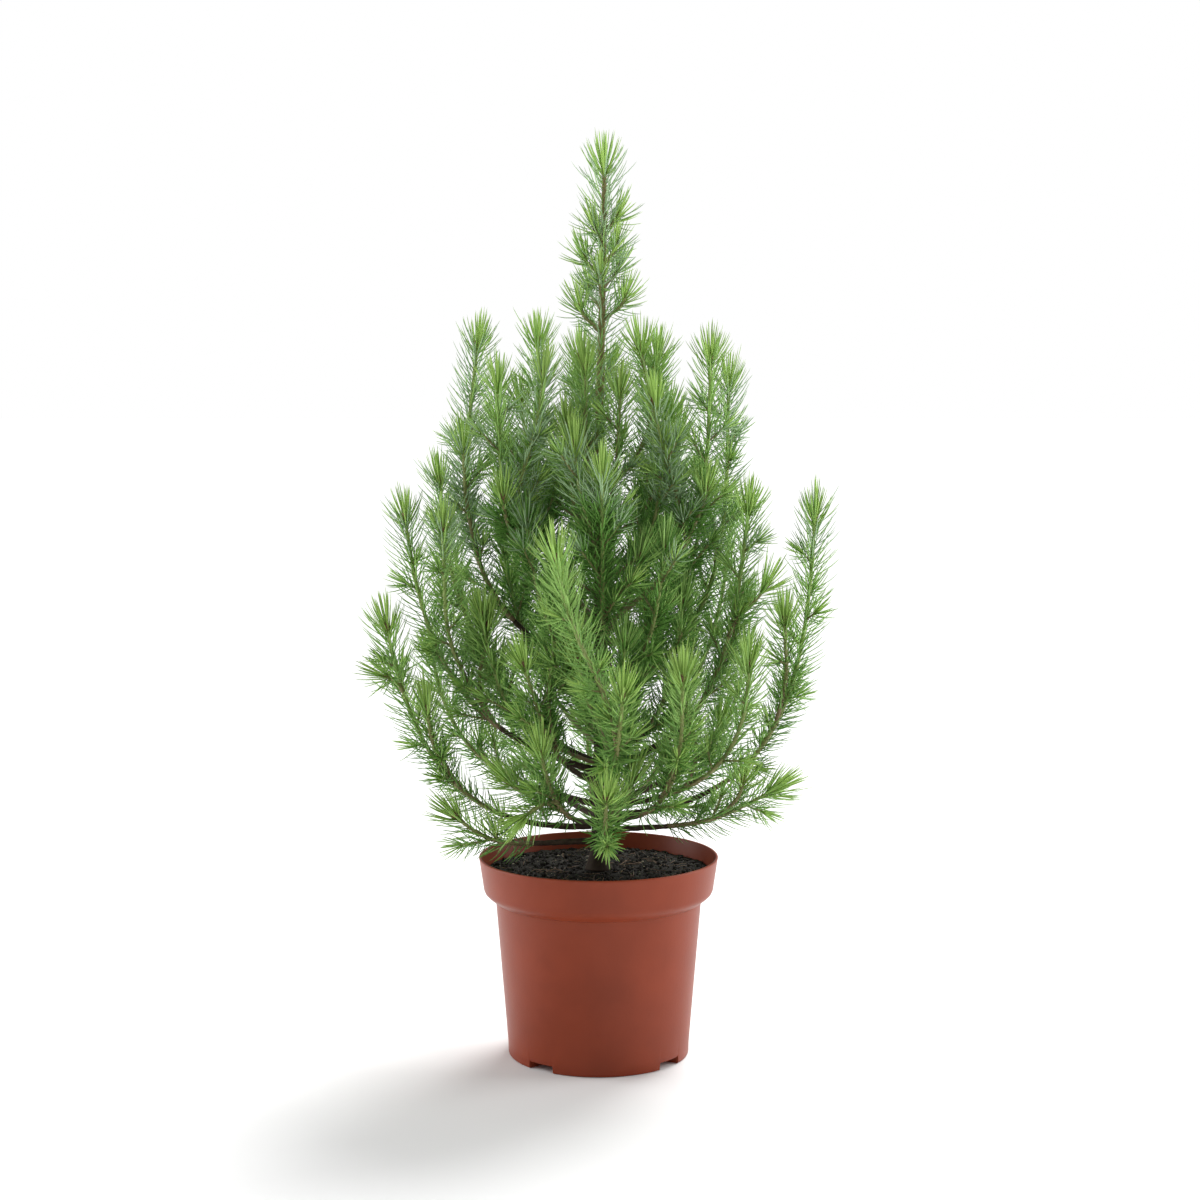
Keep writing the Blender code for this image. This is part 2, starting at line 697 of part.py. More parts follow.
def join(core, parts, name, solver):
    """Core and parts as one closed mesh, by one union on a collection."""
    group = bpy.data.collections.new(name + "_parts")
    bpy.context.scene.collection.children.link(group)
    for part in parts:
        bpy.context.scene.collection.objects.unlink(part)
        group.objects.link(part)
    union = core.modifiers.new("union", "BOOLEAN")
    union.operation = "UNION"
    union.operand_type = "COLLECTION"
    union.collection = group
    union.solver = solver
    bpy.context.view_layer.update()
    graph = bpy.context.evaluated_depsgraph_get()
    data = bpy.data.meshes.new_from_object(core.evaluated_get(graph))
    core.modifiers.clear()
    for part in parts:
        group.objects.unlink(part)
        bpy.context.scene.collection.objects.link(part)
    bpy.data.collections.remove(group)
    closed = tidy_union(data)
    return data, closed


def fuse(core, parts, name):
    """Joins a mass's twigs into its core object, by MANIFOLD where EXACT leaves it open."""
    if not parts:
        return core
    for solver in ("EXACT", "MANIFOLD"):
        data, closed = join(core, parts, name, solver)
        if closed:
            break
    if not data.materials:
        data.materials.append(core.data.materials[0])
    core.data = data
    for part in parts:
        bpy.data.objects.remove(part)
    return core


def make_mass(limb, space, material, rng):
    """Foliage of a limb: its stem and its forks, fused."""
    name = "mass_" + limb.name
    radii = (STEM_RADIUS, STEM_TIP_RADIUS)
    twigs = []
    for k, curve in enumerate(leafy_curves(limb)):
        keep = space.keeper(name, k)
        if k:
            twigs.append(make_twig(f"{name}_{k}", curve, FORK_SHADED, radii, keep, rng))
            continue
        whole = lengths_along(limb_curve(limb))[-1]
        bare = max(SHADED - limb.bare, 0) * whole
        foot = None if limb.bare else limb
        twigs.append(make_twig(name, curve, bare, radii, keep, rng, foot, material))
    return fuse(twigs[0], twigs[1:], name)


def leader_levels(count):
    """Evenly spaced heights from the foot to the top of the leader's sleeve."""
    return [LEADER_FOOT + (LEADER_TOP - LEADER_FOOT) * k / (count - 1) for k in range(count)]


def make_leader(space, material, rng):
    """Foliage round the leader: a sleeve clear of the trunk, with needles drawn out of its
    outer face, and the side shoots."""
    name = "mass_leader"
    keep = space.keeper(name, None)
    levels = leader_levels(round((LEADER_TOP - LEADER_FOOT) / LEADER_STEP) + 1)
    mesh = bmesh.new()
    outer = []
    for k, level in enumerate(levels):
        radius = trunk_radius(level) + LEADER_CLEARANCE + LEADER_WALL
        ring = level_ring(trunk_middle(level), radius, TRUNK_SIDES, 180 / TRUNK_SIDES * k)
        outer.append([mesh.verts.new(corner) for corner in ring])
    inner = []
    for level in leader_levels(LEADER_INNER_RINGS):
        radius = trunk_radius(level) + LEADER_CLEARANCE
        ring = level_ring(trunk_middle(level), radius, TRUNK_SIDES)
        inner.append([mesh.verts.new(corner) for corner in ring])
    for k, (low, high) in enumerate(zip(outer, outer[1:])):
        climb = (levels[k] - LEADER_TUFT_FOOT) / (levels[-2] - LEADER_TUFT_FOOT)
        slope = LEADER_SLOPE + (LEADER_TUFT_SLOPE - LEADER_SLOPE) * max(climb, 0)
        length = LEADER_TUFT_LENGTH if climb > 0 else NEEDLE_LENGTH
        grown = LEADER_NEEDLES + (climb > 0)
        for n in range(TRUNK_SIDES):
            m = (n + 1) % TRUNK_SIDES
            corners = (low[n], low[m], high[n])
            if (3 * n + k) % TRUNK_SIDES < grown:
                draw_out(mesh, corners, trunk_middle(levels[k]), Vector((0, 0, 1)),
                         90 - slope, length, keep, rng)
            else:
                mesh.faces.new(corners)
            mesh.faces.new((high[n], low[m], high[m]))
    for low, high in zip(inner, inner[1:]):
        for n in range(TRUNK_SIDES):
            m = (n + 1) % TRUNK_SIDES
            mesh.faces.new((high[n], high[m], low[m], low[n]))
    close_sleeve(mesh, inner[0], outer[0], 0)
    close_sleeve(mesh, outer[-1], inner[-1], (len(outer) - 1) // 2)
    core = object_from(name, mesh, material)
    radii = (SIDE_SHOOT_RADIUS, SIDE_SHOOT_RADIUS)
    shoots = [make_twig(f"{name}_{k}", curve, SIDE_SHOOT_BARE, radii,
                        space.keeper(name, k + 1), rng)
              for k, curve in enumerate(side_shoots())]
    return fuse(core, shoots, name)


def close_sleeve(mesh, first, second, shift):
    """Flat end of a sleeve, between two rings of corners of which the first is turned on by
    a number of corners."""
    for n in range(TRUNK_SIDES):
        m = (n + 1) % TRUNK_SIDES
        near, next_near = second[(n + shift) % TRUNK_SIDES], second[(m + shift) % TRUNK_SIDES]
        mesh.faces.new((first[n], first[m], next_near))
        mesh.faces.new((first[n], next_near, near))


def trunk_line(foot, top, count):
    """Points up the middle of the trunk between two heights."""
    return [trunk_middle(foot + (top - foot) * k / (count - 1)) for k in range(count)]


def make_space():
    """The room of every mass, and the limbs that needles keep clear of."""
    masses = {"mass_" + limb.name: leafy_curves(limb) for limb in LIMBS}
    masses["mass_leader"] = [trunk_line(LEADER_FOOT, LEADER_TOP, 60)] + side_shoots()
    limbs = [[(p, trunk_radius(p.z)) for p in trunk_line(TRUNK_FOOT, LEADER_FOOT, 90)]]
    for limb in LIMBS:
        if limb.bare:
            curve = limb_curve(limb)
            bare = resample(curve, CURVE_POINTS, 0, bare_length(limb, curve))
            limbs.append([(p, BOUGH_RADIUS) for p in bare])
    return Space(masses, limbs)


def clear_scene():
    """Empties the scene that the script is run in."""
    for thing in list(bpy.data.objects):
        bpy.data.objects.remove(thing)


def main():
    clear_scene()
    bark = make_material("bark", BARK, 0.85)
    needles = make_material("needles", NEEDLE_GREEN, 0.55)
    make_pot(make_material("pot_plastic", TERRACOTTA, 0.45))
    make_soil(make_material("peat", PEAT, 0.95))
    make_trunk(bark)
    space = make_space()
    rng = random.Random(SEED)
    for limb in LIMBS:
        if limb.bare:
            make_bough(limb, bark)
        make_mass(limb, space, needles, rng)
    make_leader(space, needles, rng)


if __name__ == "__main__":
    main()
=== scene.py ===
"""Finished look of a young stone pine in its plastic nursery pot.

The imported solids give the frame. Here the trunk and boughs get their bark, the masses of
foliage are grown again by the same rule with thin needles, and the pot and the peat get
their fine shapes. Lengths are in metres unless a name says otherwise, +Z is up, and a
bearing is an angle in degrees round the trunk, 0 at the front and 90 at +X.
"""
import math
from collections import namedtuple

import bpy
import numpy as np
from bpy.props import FloatProperty, FloatVectorProperty, IntProperty, PointerProperty
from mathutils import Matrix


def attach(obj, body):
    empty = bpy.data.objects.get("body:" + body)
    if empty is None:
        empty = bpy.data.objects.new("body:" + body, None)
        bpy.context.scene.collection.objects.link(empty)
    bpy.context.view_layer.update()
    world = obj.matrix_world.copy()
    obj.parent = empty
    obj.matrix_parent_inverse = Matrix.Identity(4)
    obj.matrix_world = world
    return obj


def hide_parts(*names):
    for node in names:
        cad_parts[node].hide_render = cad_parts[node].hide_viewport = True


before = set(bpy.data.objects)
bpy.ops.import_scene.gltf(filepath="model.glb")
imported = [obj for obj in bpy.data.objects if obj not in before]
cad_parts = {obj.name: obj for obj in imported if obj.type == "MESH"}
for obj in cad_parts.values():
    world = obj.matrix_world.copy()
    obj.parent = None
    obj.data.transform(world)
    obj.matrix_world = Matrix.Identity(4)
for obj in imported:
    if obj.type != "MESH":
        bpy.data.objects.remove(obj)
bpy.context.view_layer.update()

bl_info = {
    "name": "Potted stone pine",
    "version": (1, 0, 0),
    "blender": (4, 5, 0),
    "location": "3D View > Sidebar > Pine",
    "description": "Makes the visible pieces of a young stone pine in a nursery pot",
    "category": "Object",
}

UP = np.array([0, 0, 1.0])
GAP = 0.0003

# Pot and peat, as in the solids
POT_HEIGHT = 0.109
RIM_RADIUS = 0.065
BAND_RADIUS = 0.0623
RIM_DEPTH = 0.0185
RIM_SLOPE = (RIM_RADIUS - BAND_RADIUS) / RIM_DEPTH
RIM_FOOT = POT_HEIGHT - RIM_DEPTH
NECK_DROP = 0.0055
NECK = RIM_FOOT - NECK_DROP
NECK_RADIUS = 0.0559
BASE_RADIUS = 0.0493
WALL = 0.0014
FLOOR = 0.0016
CHANNEL = 0.034
CHANNEL_RISE = 0.0042
NOTCH_BEARINGS = (51, 141, 231, 321)
NOTCH_HALF = 9.2
NOTCH_HEIGHT = 0.0037
NOTCH_INNER = 0.036
SOIL_TOP = 0.1000
SOIL_CROWN = 0.0012
CROWN_REACH = 0.036

# Rows of the pot and the peat: radii, heights, and steps from an edge
UNDER_RADII = (0.012, 0.030, NOTCH_INNER - 0.0001)
NOTCH_RADII = (NOTCH_INNER, 0.042, BASE_RADIUS - 0.0010)
FOOT_EDGE = ((0.0003, 0.0003), (0, 0.0010))
WALL_FOOT = 0.0045
NECK_STEP = ((0.0010, 0.0004), (0.0022, 0.0014))
RIM_STEP = ((0.0018, -0.0022), (0.0006, -0.0010), (0, 0.0004))
BAND = (0.0012, RIM_DEPTH - 0.0022)
CHANNEL_EDGE = 0.003
PEAT_INSET = 0.001

# Degrees between the two columns at a notch's edge, and the share of its height that the row
# above still shows; radius of the peat's innermost row, and of the smooth peat at the trunk
NOTCH_EDGE = 0.35
NOTCH_TRACE = 0.12
PEAT_MIDDLE = 0.0012
COLLAR = 0.009
COLLAR_FADE = 0.006

# Room between the loose bits on the peat and the pot's wall
LUMP_ROOM, FIBRE_ROOM = 0.0018, 0.009

# Trunk and leader, as in the solids
TRUNK_FOOT = SOIL_TOP + SOIL_CROWN + GAP
TRUNK_TIP = 0.4815
TRUNK_RADIUS = 0.0044
TIP_RADIUS = 0.0012
FLARE_RADIUS = 0.0034
FLARE_HEIGHT = 0.006
TRUNK_LEAN = 0.0022
TRUNK_SWAY = 0.0009
SWAY_BENDS = 2.6
SWAY_ASIDE = 0.7
LEADER_FOOT = 0.3120
LEADER_TIP = TRUNK_TIP - 0.004
YOUNG_BARK_FOOT = 0.20
YOUNG_BARK_RUN = 0.16

# Bark: long plates and rows of scars, whose heights are shares of the relief
TRUNK_RINGS, TRUNK_SIDES = 440, 32
BOUGH_SIDES, BOUGH_RELIEF = 14, 0.5
BARK_STRETCH = 0.45
BARK_SINK = 0.3
PLATE_TOP = 0.35
SCAR_ROWS = 2600
SCAR_FOOT = 0.4
SCAR_HEIGHT = 0.8

# Limbs, as in the solids
BOUGH_RADIUS = 0.0019
STEM_RADIUS = 0.0014
STEM_TIP = 0.0009
QUARTER = 0.55
LEAST_HANDLE = 0.25
SHADED = 0.28
FORK_SHADED = 0.008
FORK_CLEAR = 0.005
FORK_LIFT = 1.6
TUFT_REACH = 0.013
GOLDEN_ANGLE = 137.508
STRAIGHT = 0.08

# Stems and buds: a shoot shorter than LONG_SHOOT has no sprigs and a small bud
LONG_SHOOT = 0.03
PEG_HEIGHT = 0.16
YOUNG_STEM = 0.10
SHORT_AGE = 0.25
BUD_LONG, BUD_SHORT = 0.0062, 0.003
BUD_SUNK = 0.25
BUD_LEAST = 0.00022
BUD_STOUT = 0.24
BUD_SCALES = 0.16

# Short shoots on the leader, as in the solids
SIDE_SHOOTS = 10
SIDE_FIRST = 0.392
SIDE_LAST = 0.446
SIDE_LONG = 0.018
SIDE_SHORT = 0.009
SIDE_SLOPE = 50
SIDE_BEARING = 300

# Short shoots on the trunk inside the crown, which the solids leave out
INNER_SHOOTS = 22
INNER_BEARING = 15
INNER_FOOT = 0.146
INNER_RISE = 0.150
INNER_REACH = 0.052
INNER_TAPER = 0.022
INNER_SPREAD = 0.008
INNER_TALL = 0.085
INNER_SHRINK = 0.02

# Sprigs: where they stand on a shoot, and where in the crown they are longest
SPRIG_FIRST = 0.006
SPRIG_LAST = 0.008
SPRIG_RADIUS = 0.0006
SPRIG_AHEAD = 0.75
SPRIG_LIFT = 0.5
SPRIG_START = (0.31, 0.17, 0.94)
SPRIG_SHORTEST, SPRIG_SHORT = 0.005, 0.009
SPRIG_LONGER = 0.012
SPRIG_REACH, SPRIG_REACH_FADE = 0.085, 0.03
SPRIG_TOP, SPRIG_TOP_FADE = 0.36, 0.06
BARE_BOUGH = 0.35

# Length of the needles, as a share of the length set in the panel. Limbs that end under
# LOW_LIMB millimetres have longer ones.
LOW_LIMB, LOW_NEEDLES = 250, 1.05
SIDE_NEEDLES = 0.85
INNER_NEEDLES = 0.95
LEADER_NEEDLES = 1.1
SPRIG_NEEDLES = 0.66
TUFT_LONGER = 1.04
FOOT_SHARE, TIP_GAIN, MOST_SHARE = 0.72, 0.45, 1.05

# How needles stand: angles in degrees, and turns in radians
SHOOT_LEAN, SHOOT_LEAN_LOSS = 68, 22
TUFT_LEAN, TUFT_LEAN_LOSS = 52, 44
AHEAD = 0.0008
NEEDLE_START = (0.29, 0.13, 0.95)
NEEDLE_SEAT = 0.0004
ARCH = 0.42
NEEDLE_RINGS = (0.0, 0.30, 0.64, 0.88)
RING_WIDTHS = (0.62, 1.0, 0.86, 0.52)
NEEDLE_TRIANGLES = 22
MOST_TRIANGLES = 190000
WOOD_ROOM = 0.0006
RIM_ROOM = 0.0008
PEAT_ROOM = 0.0025

# Spacing of the needles against a shoot's, depth of the tuft and share of its needles in the
# tuft colour, which is fresh growth's lime lightened by painted light shining through
ON_SHOOT = (1.0, 0.0055, 0.9)
ON_SPRIG = (0.9, 0.0010, 0.45)
SPRIG_TUFT = 0.3
TUFT_LEAST = 0.45
TUFT_FULL = 0.08

Fork = namedtuple("Fork", "share bearing reach height")
Limb = namedtuple("Limb", "name root bearing reach height leave arrive bare forks sweep",
                  defaults=(0.55,))

# The limbs of the solids: root, reach and height in millimetres, angles in degrees
LIMBS = [Limb(*row) for row in (
    ("low_left", 125, 275, 116, 247, -2, 80, 0.25,
     ((0.40, 286, 96, 206), (0.74, 284, 121, 219), (0.76, 264, 107, 216)), 0.72),
    ("lowest_left", 117, 291, 90, 146, 3, 50, 0.35, ((0.55, 301, 62, 136),)),
    ("front_left_low", 128, 334, 73, 189, 8, 70, 0.30,
     ((0.36, 308, 68, 168), (0.50, 328, 88, 143))),
    ("front_low", 121, 3, 84, 166, 6, 62, 0.35, ((0.36, 22, 56, 173),)),
    ("front_right_low", 129, 37, 74, 181, 10, 70, 0.35, ((0.55, 28, 92, 229),)),
    ("lowest_right", 123, 87, 106, 152, 4, 30, 0.30, ((0.55, 73, 82, 166),)),
    ("low_right", 131, 92, 117, 306, 2, 88, 0.25,
     ((0.46, 82, 100, 252), (0.40, 101, 108, 206)), 0.85),
    ("low_right_back", 137, 122, 100, 226, 10, 80, 0.30, ((0.45, 113, 76, 192),), 0.7),
    ("low_back_right", 129, 152, 104, 196, 4, 75, 0.30, ((0.45, 139, 78, 176),)),
    ("low_back", 122, 184, 112, 214, 2, 82, 0.30, ((0.40, 170, 84, 160),), 0.7),
    ("low_back_left", 130, 214, 104, 202, 6, 76, 0.30, ((0.45, 203, 76, 178),)),
    ("low_left_back", 137, 246, 104, 226, 8, 80, 0.30, ((0.45, 237, 78, 178),), 0.7),
    ("front_mid", 158, 7, 105, 222, 6, 64, 0.28, ((0.58, 347, 100, 291), (0.34, 348, 60, 236))),
    ("right_mid", 137, 60, 89, 232, 8, 96, 0.28, ((0.34, 52, 54, 222),), 0.8),
    ("right_upper_mid", 158, 83, 82, 312, 18, 84, 0.28, ((0.55, 76, 95, 270), (0.34, 95, 80, 256))),
    ("right_back_mid", 163, 126, 93, 302, 16, 86, 0.28, ((0.30, 128, 54, 306),)),
    ("left_back_mid", 160, 240, 96, 296, 16, 84, 0.28, ((0.42, 257, 90, 324),)),
    ("left_mid", 156, 272, 105, 306, 16, 84, 0.28, ((0.30, 294, 90, 302), (0.28, 291, 62, 250))),
    ("front_left_mid", 150, 325, 74, 232, 20, 60, 0.28, ((0.35, 339, 58, 262),)),
    ("left_upper", 206, 262, 64, 398, 26, 97, 0.24, ((0.40, 279, 73, 344),), 0.65),
    ("back_right_mid", 172, 152, 86, 326, 20, 86, 0, ((0.40, 166, 88, 282),)),
    ("back_mid", 178, 186, 92, 306, 20, 84, 0, ((0.40, 198, 84, 262),)),
    ("back_left_mid", 170, 216, 88, 322, 20, 86, 0, ((0.40, 226, 72, 266),)),
    ("left_front_top", 232, 288, 56, 377, 34, 88, 0, ((0.30, 316, 40, 382), (0.34, 305, 62, 318))),
    ("front_upper", 206, 2, 58, 331, 18, 84, 0, ((0.36, 27, 56, 288), (0.44, 342, 44, 344))),
    ("right_top", 236, 70, 63, 391, 34, 88, 0, ((0.26, 42, 42, 368), (0.34, 62, 66, 322))),
    ("right_back_top", 196, 103, 72, 377, 26, 90, 0, ((0.46, 113, 60, 324),)),
    ("back_right_top", 228, 148, 58, 384, 34, 88, 0, ((0.36, 128, 58, 352),)),
    ("back_left_top", 236, 222, 50, 400, 36, 88, 0, ((0.30, 190, 52, 378), (0.30, 240, 66, 356))),
    ("front_lateral", 300, 340, 20, 386, 50, 86, 0, ()),
    ("right_lateral", 306, 84, 33, 391, 46, 82, 0, ((0.5, 52, 26, 396),)),
    ("back_lateral", 298, 200, 30, 392, 46, 84, 0, ((0.5, 160, 28, 384),)),
)]

MASSES = ["mass_" + limb.name for limb in LIMBS] + ["mass_leader"]
BOUGHS = ["bough_" + limb.name for limb in LIMBS if limb.bare]

# Needle groups, and the names of their pieces and colours in the same order
TUFT, YOUNG, MIDDLE, SHADED_DEEP, GREY = range(5)
NEEDLE_GROUPS = ("tuft", "young", "middle", "deep", "grey")

# Where needle groups change: heights, reach from the trunk, and places along a shoot from 0
# to 1
INSIDE_TOP, INSIDE_FOOT, INSIDE_REACH, INSIDE_WIDENS = 0.30, 0.12, 0.045, 0.10
UPPER_FOOT, UPPER_SHARE, UPPER_MOOD = 0.27, 0.75, 0.42
SKIRT_TOP = 0.19
# Up to the last two places along a shoot, needles inside the crown and in the low skirt take the
# deep colour, which adds painted shade to the darker green of older needles
YOUNG_FROM, SHADED_DEEP_UP_TO, SKIRT_SHADED_DEEP_UP_TO = 0.58, 0.85, 0.25

# A leafy stem: its points, the length at its foot without needles, the length of its needles
# and its radius
Shoot = namedtuple("Shoot", "points bare long radius")

# Scale of the grain, least and most roughness, strength of the relief, scale of the mottling
# (0 where the mesh's own attribute mixes the colours) and specular level
Look = namedtuple("Look", "grain smooth rough relief mottle specular")
LOOKS = {
    "pot_plastic": Look(900, 0.34, 0.46, 0.10, 34, 0.22),
    "peat": Look(1500, 0.75, 0.98, 0.80, 260, 0.25),
    "pale_grain": Look(2500, 0.60, 0.80, 0.30, 900, 0.50),
    "straw": Look(2500, 0.60, 0.80, 0.20, 500, 0.50),
    "bark": Look(2400, 0.70, 0.95, 0.70, 420, 0.30),
    "trunk_bark": Look(2400, 0.70, 0.95, 0.70, 0, 0.30),
    "stem": Look(1800, 0.45, 0.65, 0.30, 0, 0.50),
    "bud": Look(2200, 0.50, 0.75, 0.40, 700, 0.50),
    "needle": Look(1400, 0.50, 0.65, 0.08, 70, 0.25),
}
RELIEF_DEPTH = 0.0004

# Second colours: how much lighter or darker than the first, or the pair itself
POT_SHADE = 0.86
PEAT_SHADE = 2.1
BARK_SHADE = 1.9
NEEDLE_SHADE = 0.78
PALE_GRAIN = ((0.42, 0.37, 0.28), (0.24, 0.19, 0.13))
STRAW = ((0.17, 0.10, 0.05), (0.07, 0.04, 0.02))
BUD = ((0.30, 0.17, 0.085), (0.16, 0.085, 0.045))

# Stage: places in metres, angles in degrees
CAMERA_PLACE = (0.0008, -1.2, 0.366)
CAMERA_PITCH = 5.6
OVERHEAD_PLACE = (0.65, 1.2, 2.0)
SIDE_PLACE = (1.15, 0.15, 0.45)
AIM_HEIGHT = 0.22


def metres(name, description, default, low, high):
    """Property for a length."""
    return FloatProperty(name=name, description=description, default=default, min=low, max=high,
                         subtype="DISTANCE", unit="LENGTH", precision=5)


def swatch(name, description, default):
    """Property for a plain colour."""
    return FloatVectorProperty(name=name, description=description, default=default, size=3,
                               min=0, max=1, subtype="COLOR")


class PineSizes(bpy.types.PropertyGroup):
    """Sizes of the foliage and the relief."""

    needle_long: metres("Needle length", "Length of a needle on the side of a shoot",
                        0.0188, 0.005, 0.03)
    needle_wide: metres("Needle width", "Width of a needle at its middle", 0.00080, 0.0003, 0.002)
    needle_step: metres("Needle spacing", "Length of shoot from one needle to the next",
                        0.00047, 0.0003, 0.005)
    tuft_needles: IntProperty(
        name="Tuft needles", description="Number of needles in the tuft at a shoot's tip",
        default=42, min=4, max=80)
    sprig_step: metres("Sprig spacing", "Length of shoot from one short side sprig to the next",
                       0.0150, 0.005, 0.2)
    bark_relief: metres("Bark relief", "Height of the bark's ridges", 0.00035, 0.0, 0.001)
    peat_relief: metres("Peat relief", "Height of the lumps in the peat", 0.0011, 0.0, 0.003)
    crumbs: IntProperty(name="Crumbs", description="Number of loose crumbs on the peat",
                        default=2200, min=0, max=6000)


class PineColours(bpy.types.PropertyGroup):
    """Colours of the finishes."""

    pot: swatch("Pot", "Moulded terracotta-coloured plastic", (0.265, 0.046, 0.018))
    peat: swatch("Peat", "Moist peat", (0.011, 0.009, 0.007))
    bark: swatch("Bark", "Trunk and boughs", (0.040, 0.026, 0.017))
    bark_young: swatch("Young bark", "Trunk near its tip", (0.26, 0.22, 0.10))
    stem_young: swatch("Young stem", "Stem near a shoot's tip", (0.30, 0.42, 0.11))
    stem_old: swatch("Old stem", "Stem at a shoot's foot", (0.22, 0.15, 0.085))
    # The tuft colour is fresh growth's lime, made lighter as painted light that shines through the
    # thin needles
    tuft: swatch("Tuft needles", "Fresh needles at the tips", (0.385, 0.600, 0.135))
    young: swatch("Young needles", "Needles on the outer half of a shoot", (0.315, 0.540, 0.135))
    middle: swatch("Middle needles", "Needles on the inner half of a shoot", (0.235, 0.450, 0.110))
    # The deep colour is the darker green of older needles, darkened further as painted shade for
    # the inside of the crown and its low skirt
    deep: swatch("Deep needles", "Needles inside the crown", (0.150, 0.335, 0.062))
    grey: swatch("Grey needles", "Blue-green needles of the upper crown", (0.350, 0.520, 0.275))


class PineStage(bpy.types.PropertyGroup):
    """Camera, floor and light."""

    lens: FloatProperty(
        name="Lens", description="Focal length in millimetres on a 36 mm sensor",
        default=67.2, min=10, max=200)
    floor: swatch("Floor", "Pale floor", (0.82, 0.82, 0.82))
    room: FloatProperty(
        name="Room light", description="Brightness of the light from all round",
        default=0.42, min=0, max=5)
    sun: FloatProperty(
        name="Overhead light", description="Strength of the soft light from above and behind",
        default=3.7, min=0, max=20)
    sides: FloatProperty(
        name="Side light", description="Power of each of the two side lights, in watts",
        default=12.0, min=0, max=200)


def unit(v):
    """Each vector over its own length."""
    return v / np.maximum(np.linalg.norm(v, axis=-1, keepdims=True), 1e-12)


def joined(*parts):
    """Arrays of one shape, or numbers, side by side along a new last axis."""
    return np.stack(np.broadcast_arrays(*parts), axis=-1)


def direction(bearing, slope):
    """Unit vectors at a bearing and a slope above level: x is the sine of the bearing and y
    minus its cosine, both times the cosine of the slope, and z is the sine of the slope."""
    turn, rise = np.radians(bearing), np.radians(slope)
    return joined(np.sin(turn) * np.cos(rise), -np.cos(turn) * np.cos(rise), np.sin(rise))


def trunk_radius(height):
    """Even taper, plus a flare that falls off exponentially above the peat."""
    rise = (height - TRUNK_FOOT) / (TRUNK_TIP - TRUNK_FOOT)
    taper = TRUNK_RADIUS + (TIP_RADIUS - TRUNK_RADIUS) * rise
    return taper + FLARE_RADIUS * np.exp(-(height - TRUNK_FOOT) / FLARE_HEIGHT)


def trunk_middle(height):
    """A straight lean to the right, plus a slow sine sway."""
    rise = (height - TRUNK_FOOT) / (TRUNK_TIP - TRUNK_FOOT)
    sway = TRUNK_SWAY * np.sin(SWAY_BENDS * np.pi * rise)
    return joined(TRUNK_LEAN * rise + sway, -SWAY_ASIDE * sway, height)


def lengths_along(points):
    """Running length of a line of points."""
    steps = np.linalg.norm(np.diff(points, axis=0), axis=1)
    return np.concatenate([[0.0], np.cumsum(steps)])


def length(points):
    """Length of a line of points."""
    return lengths_along(points)[-1]


def resample(points, wanted):
    """Points at wanted lengths along a line of points, by straight interpolation."""
    along = lengths_along(points)
    return joined(*(np.interp(wanted, along, points[:, a]) for a in range(3)))


def curve_points(start, leave, tip, arrive, sweep=QUARTER, count=200):
    """Cubic curve from start to tip whose handles are a share of the chord's length in their
    own direction, sampled evenly in length."""
    chord = tip - start
    least = LEAST_HANDLE * np.linalg.norm(chord)
    first = start + leave * sweep * max(chord @ leave, least)
    second = tip - arrive * QUARTER * max(chord @ arrive, least)
    t = np.linspace(0, 1, count)[:, None]
    u = 1 - t
    fine = start * u ** 3 + first * 3 * u * u * t + second * 3 * u * t * t + tip * t ** 3
    return resample(fine, np.linspace(0, length(fine), count))


def limb_curve(limb):
    """Middle line of a limb, from the trunk's surface to the end of its tuft."""
    root = limb.root / 1000
    outward = direction(limb.bearing, 0)
    start = trunk_middle(root) + outward * (trunk_radius(root) + GAP)
    tip = outward * limb.reach / 1000 + UP * limb.height / 1000
    return curve_points(start, direction(limb.bearing, limb.leave), tip,
                        direction(limb.bearing, limb.arrive), limb.sweep)


def fork_curve(parent, fork, bare):
    """Middle line of a fork: it leaves along its parent and turns up to its own tip."""
    along = lengths_along(parent)
    left = max(fork.share * along[-1], bare + FORK_CLEAR)
    start = resample(parent, [left])[0]
    at = min(round(left / along[-1] * (len(parent) - 1)), len(parent) - 2)
    ahead = unit(parent[at + 1] - parent[at - 1])
    tip = direction(fork.bearing, 0) * fork.reach / 1000 + UP * fork.height / 1000
    chord = unit(tip - start)
    return curve_points(start, unit(ahead + chord), tip, unit(chord + UP * FORK_LIFT))


def cut(points, start, stop, count=60):
    """The stretch of a line of points between two lengths."""
    return resample(points, np.linspace(start, stop, count))


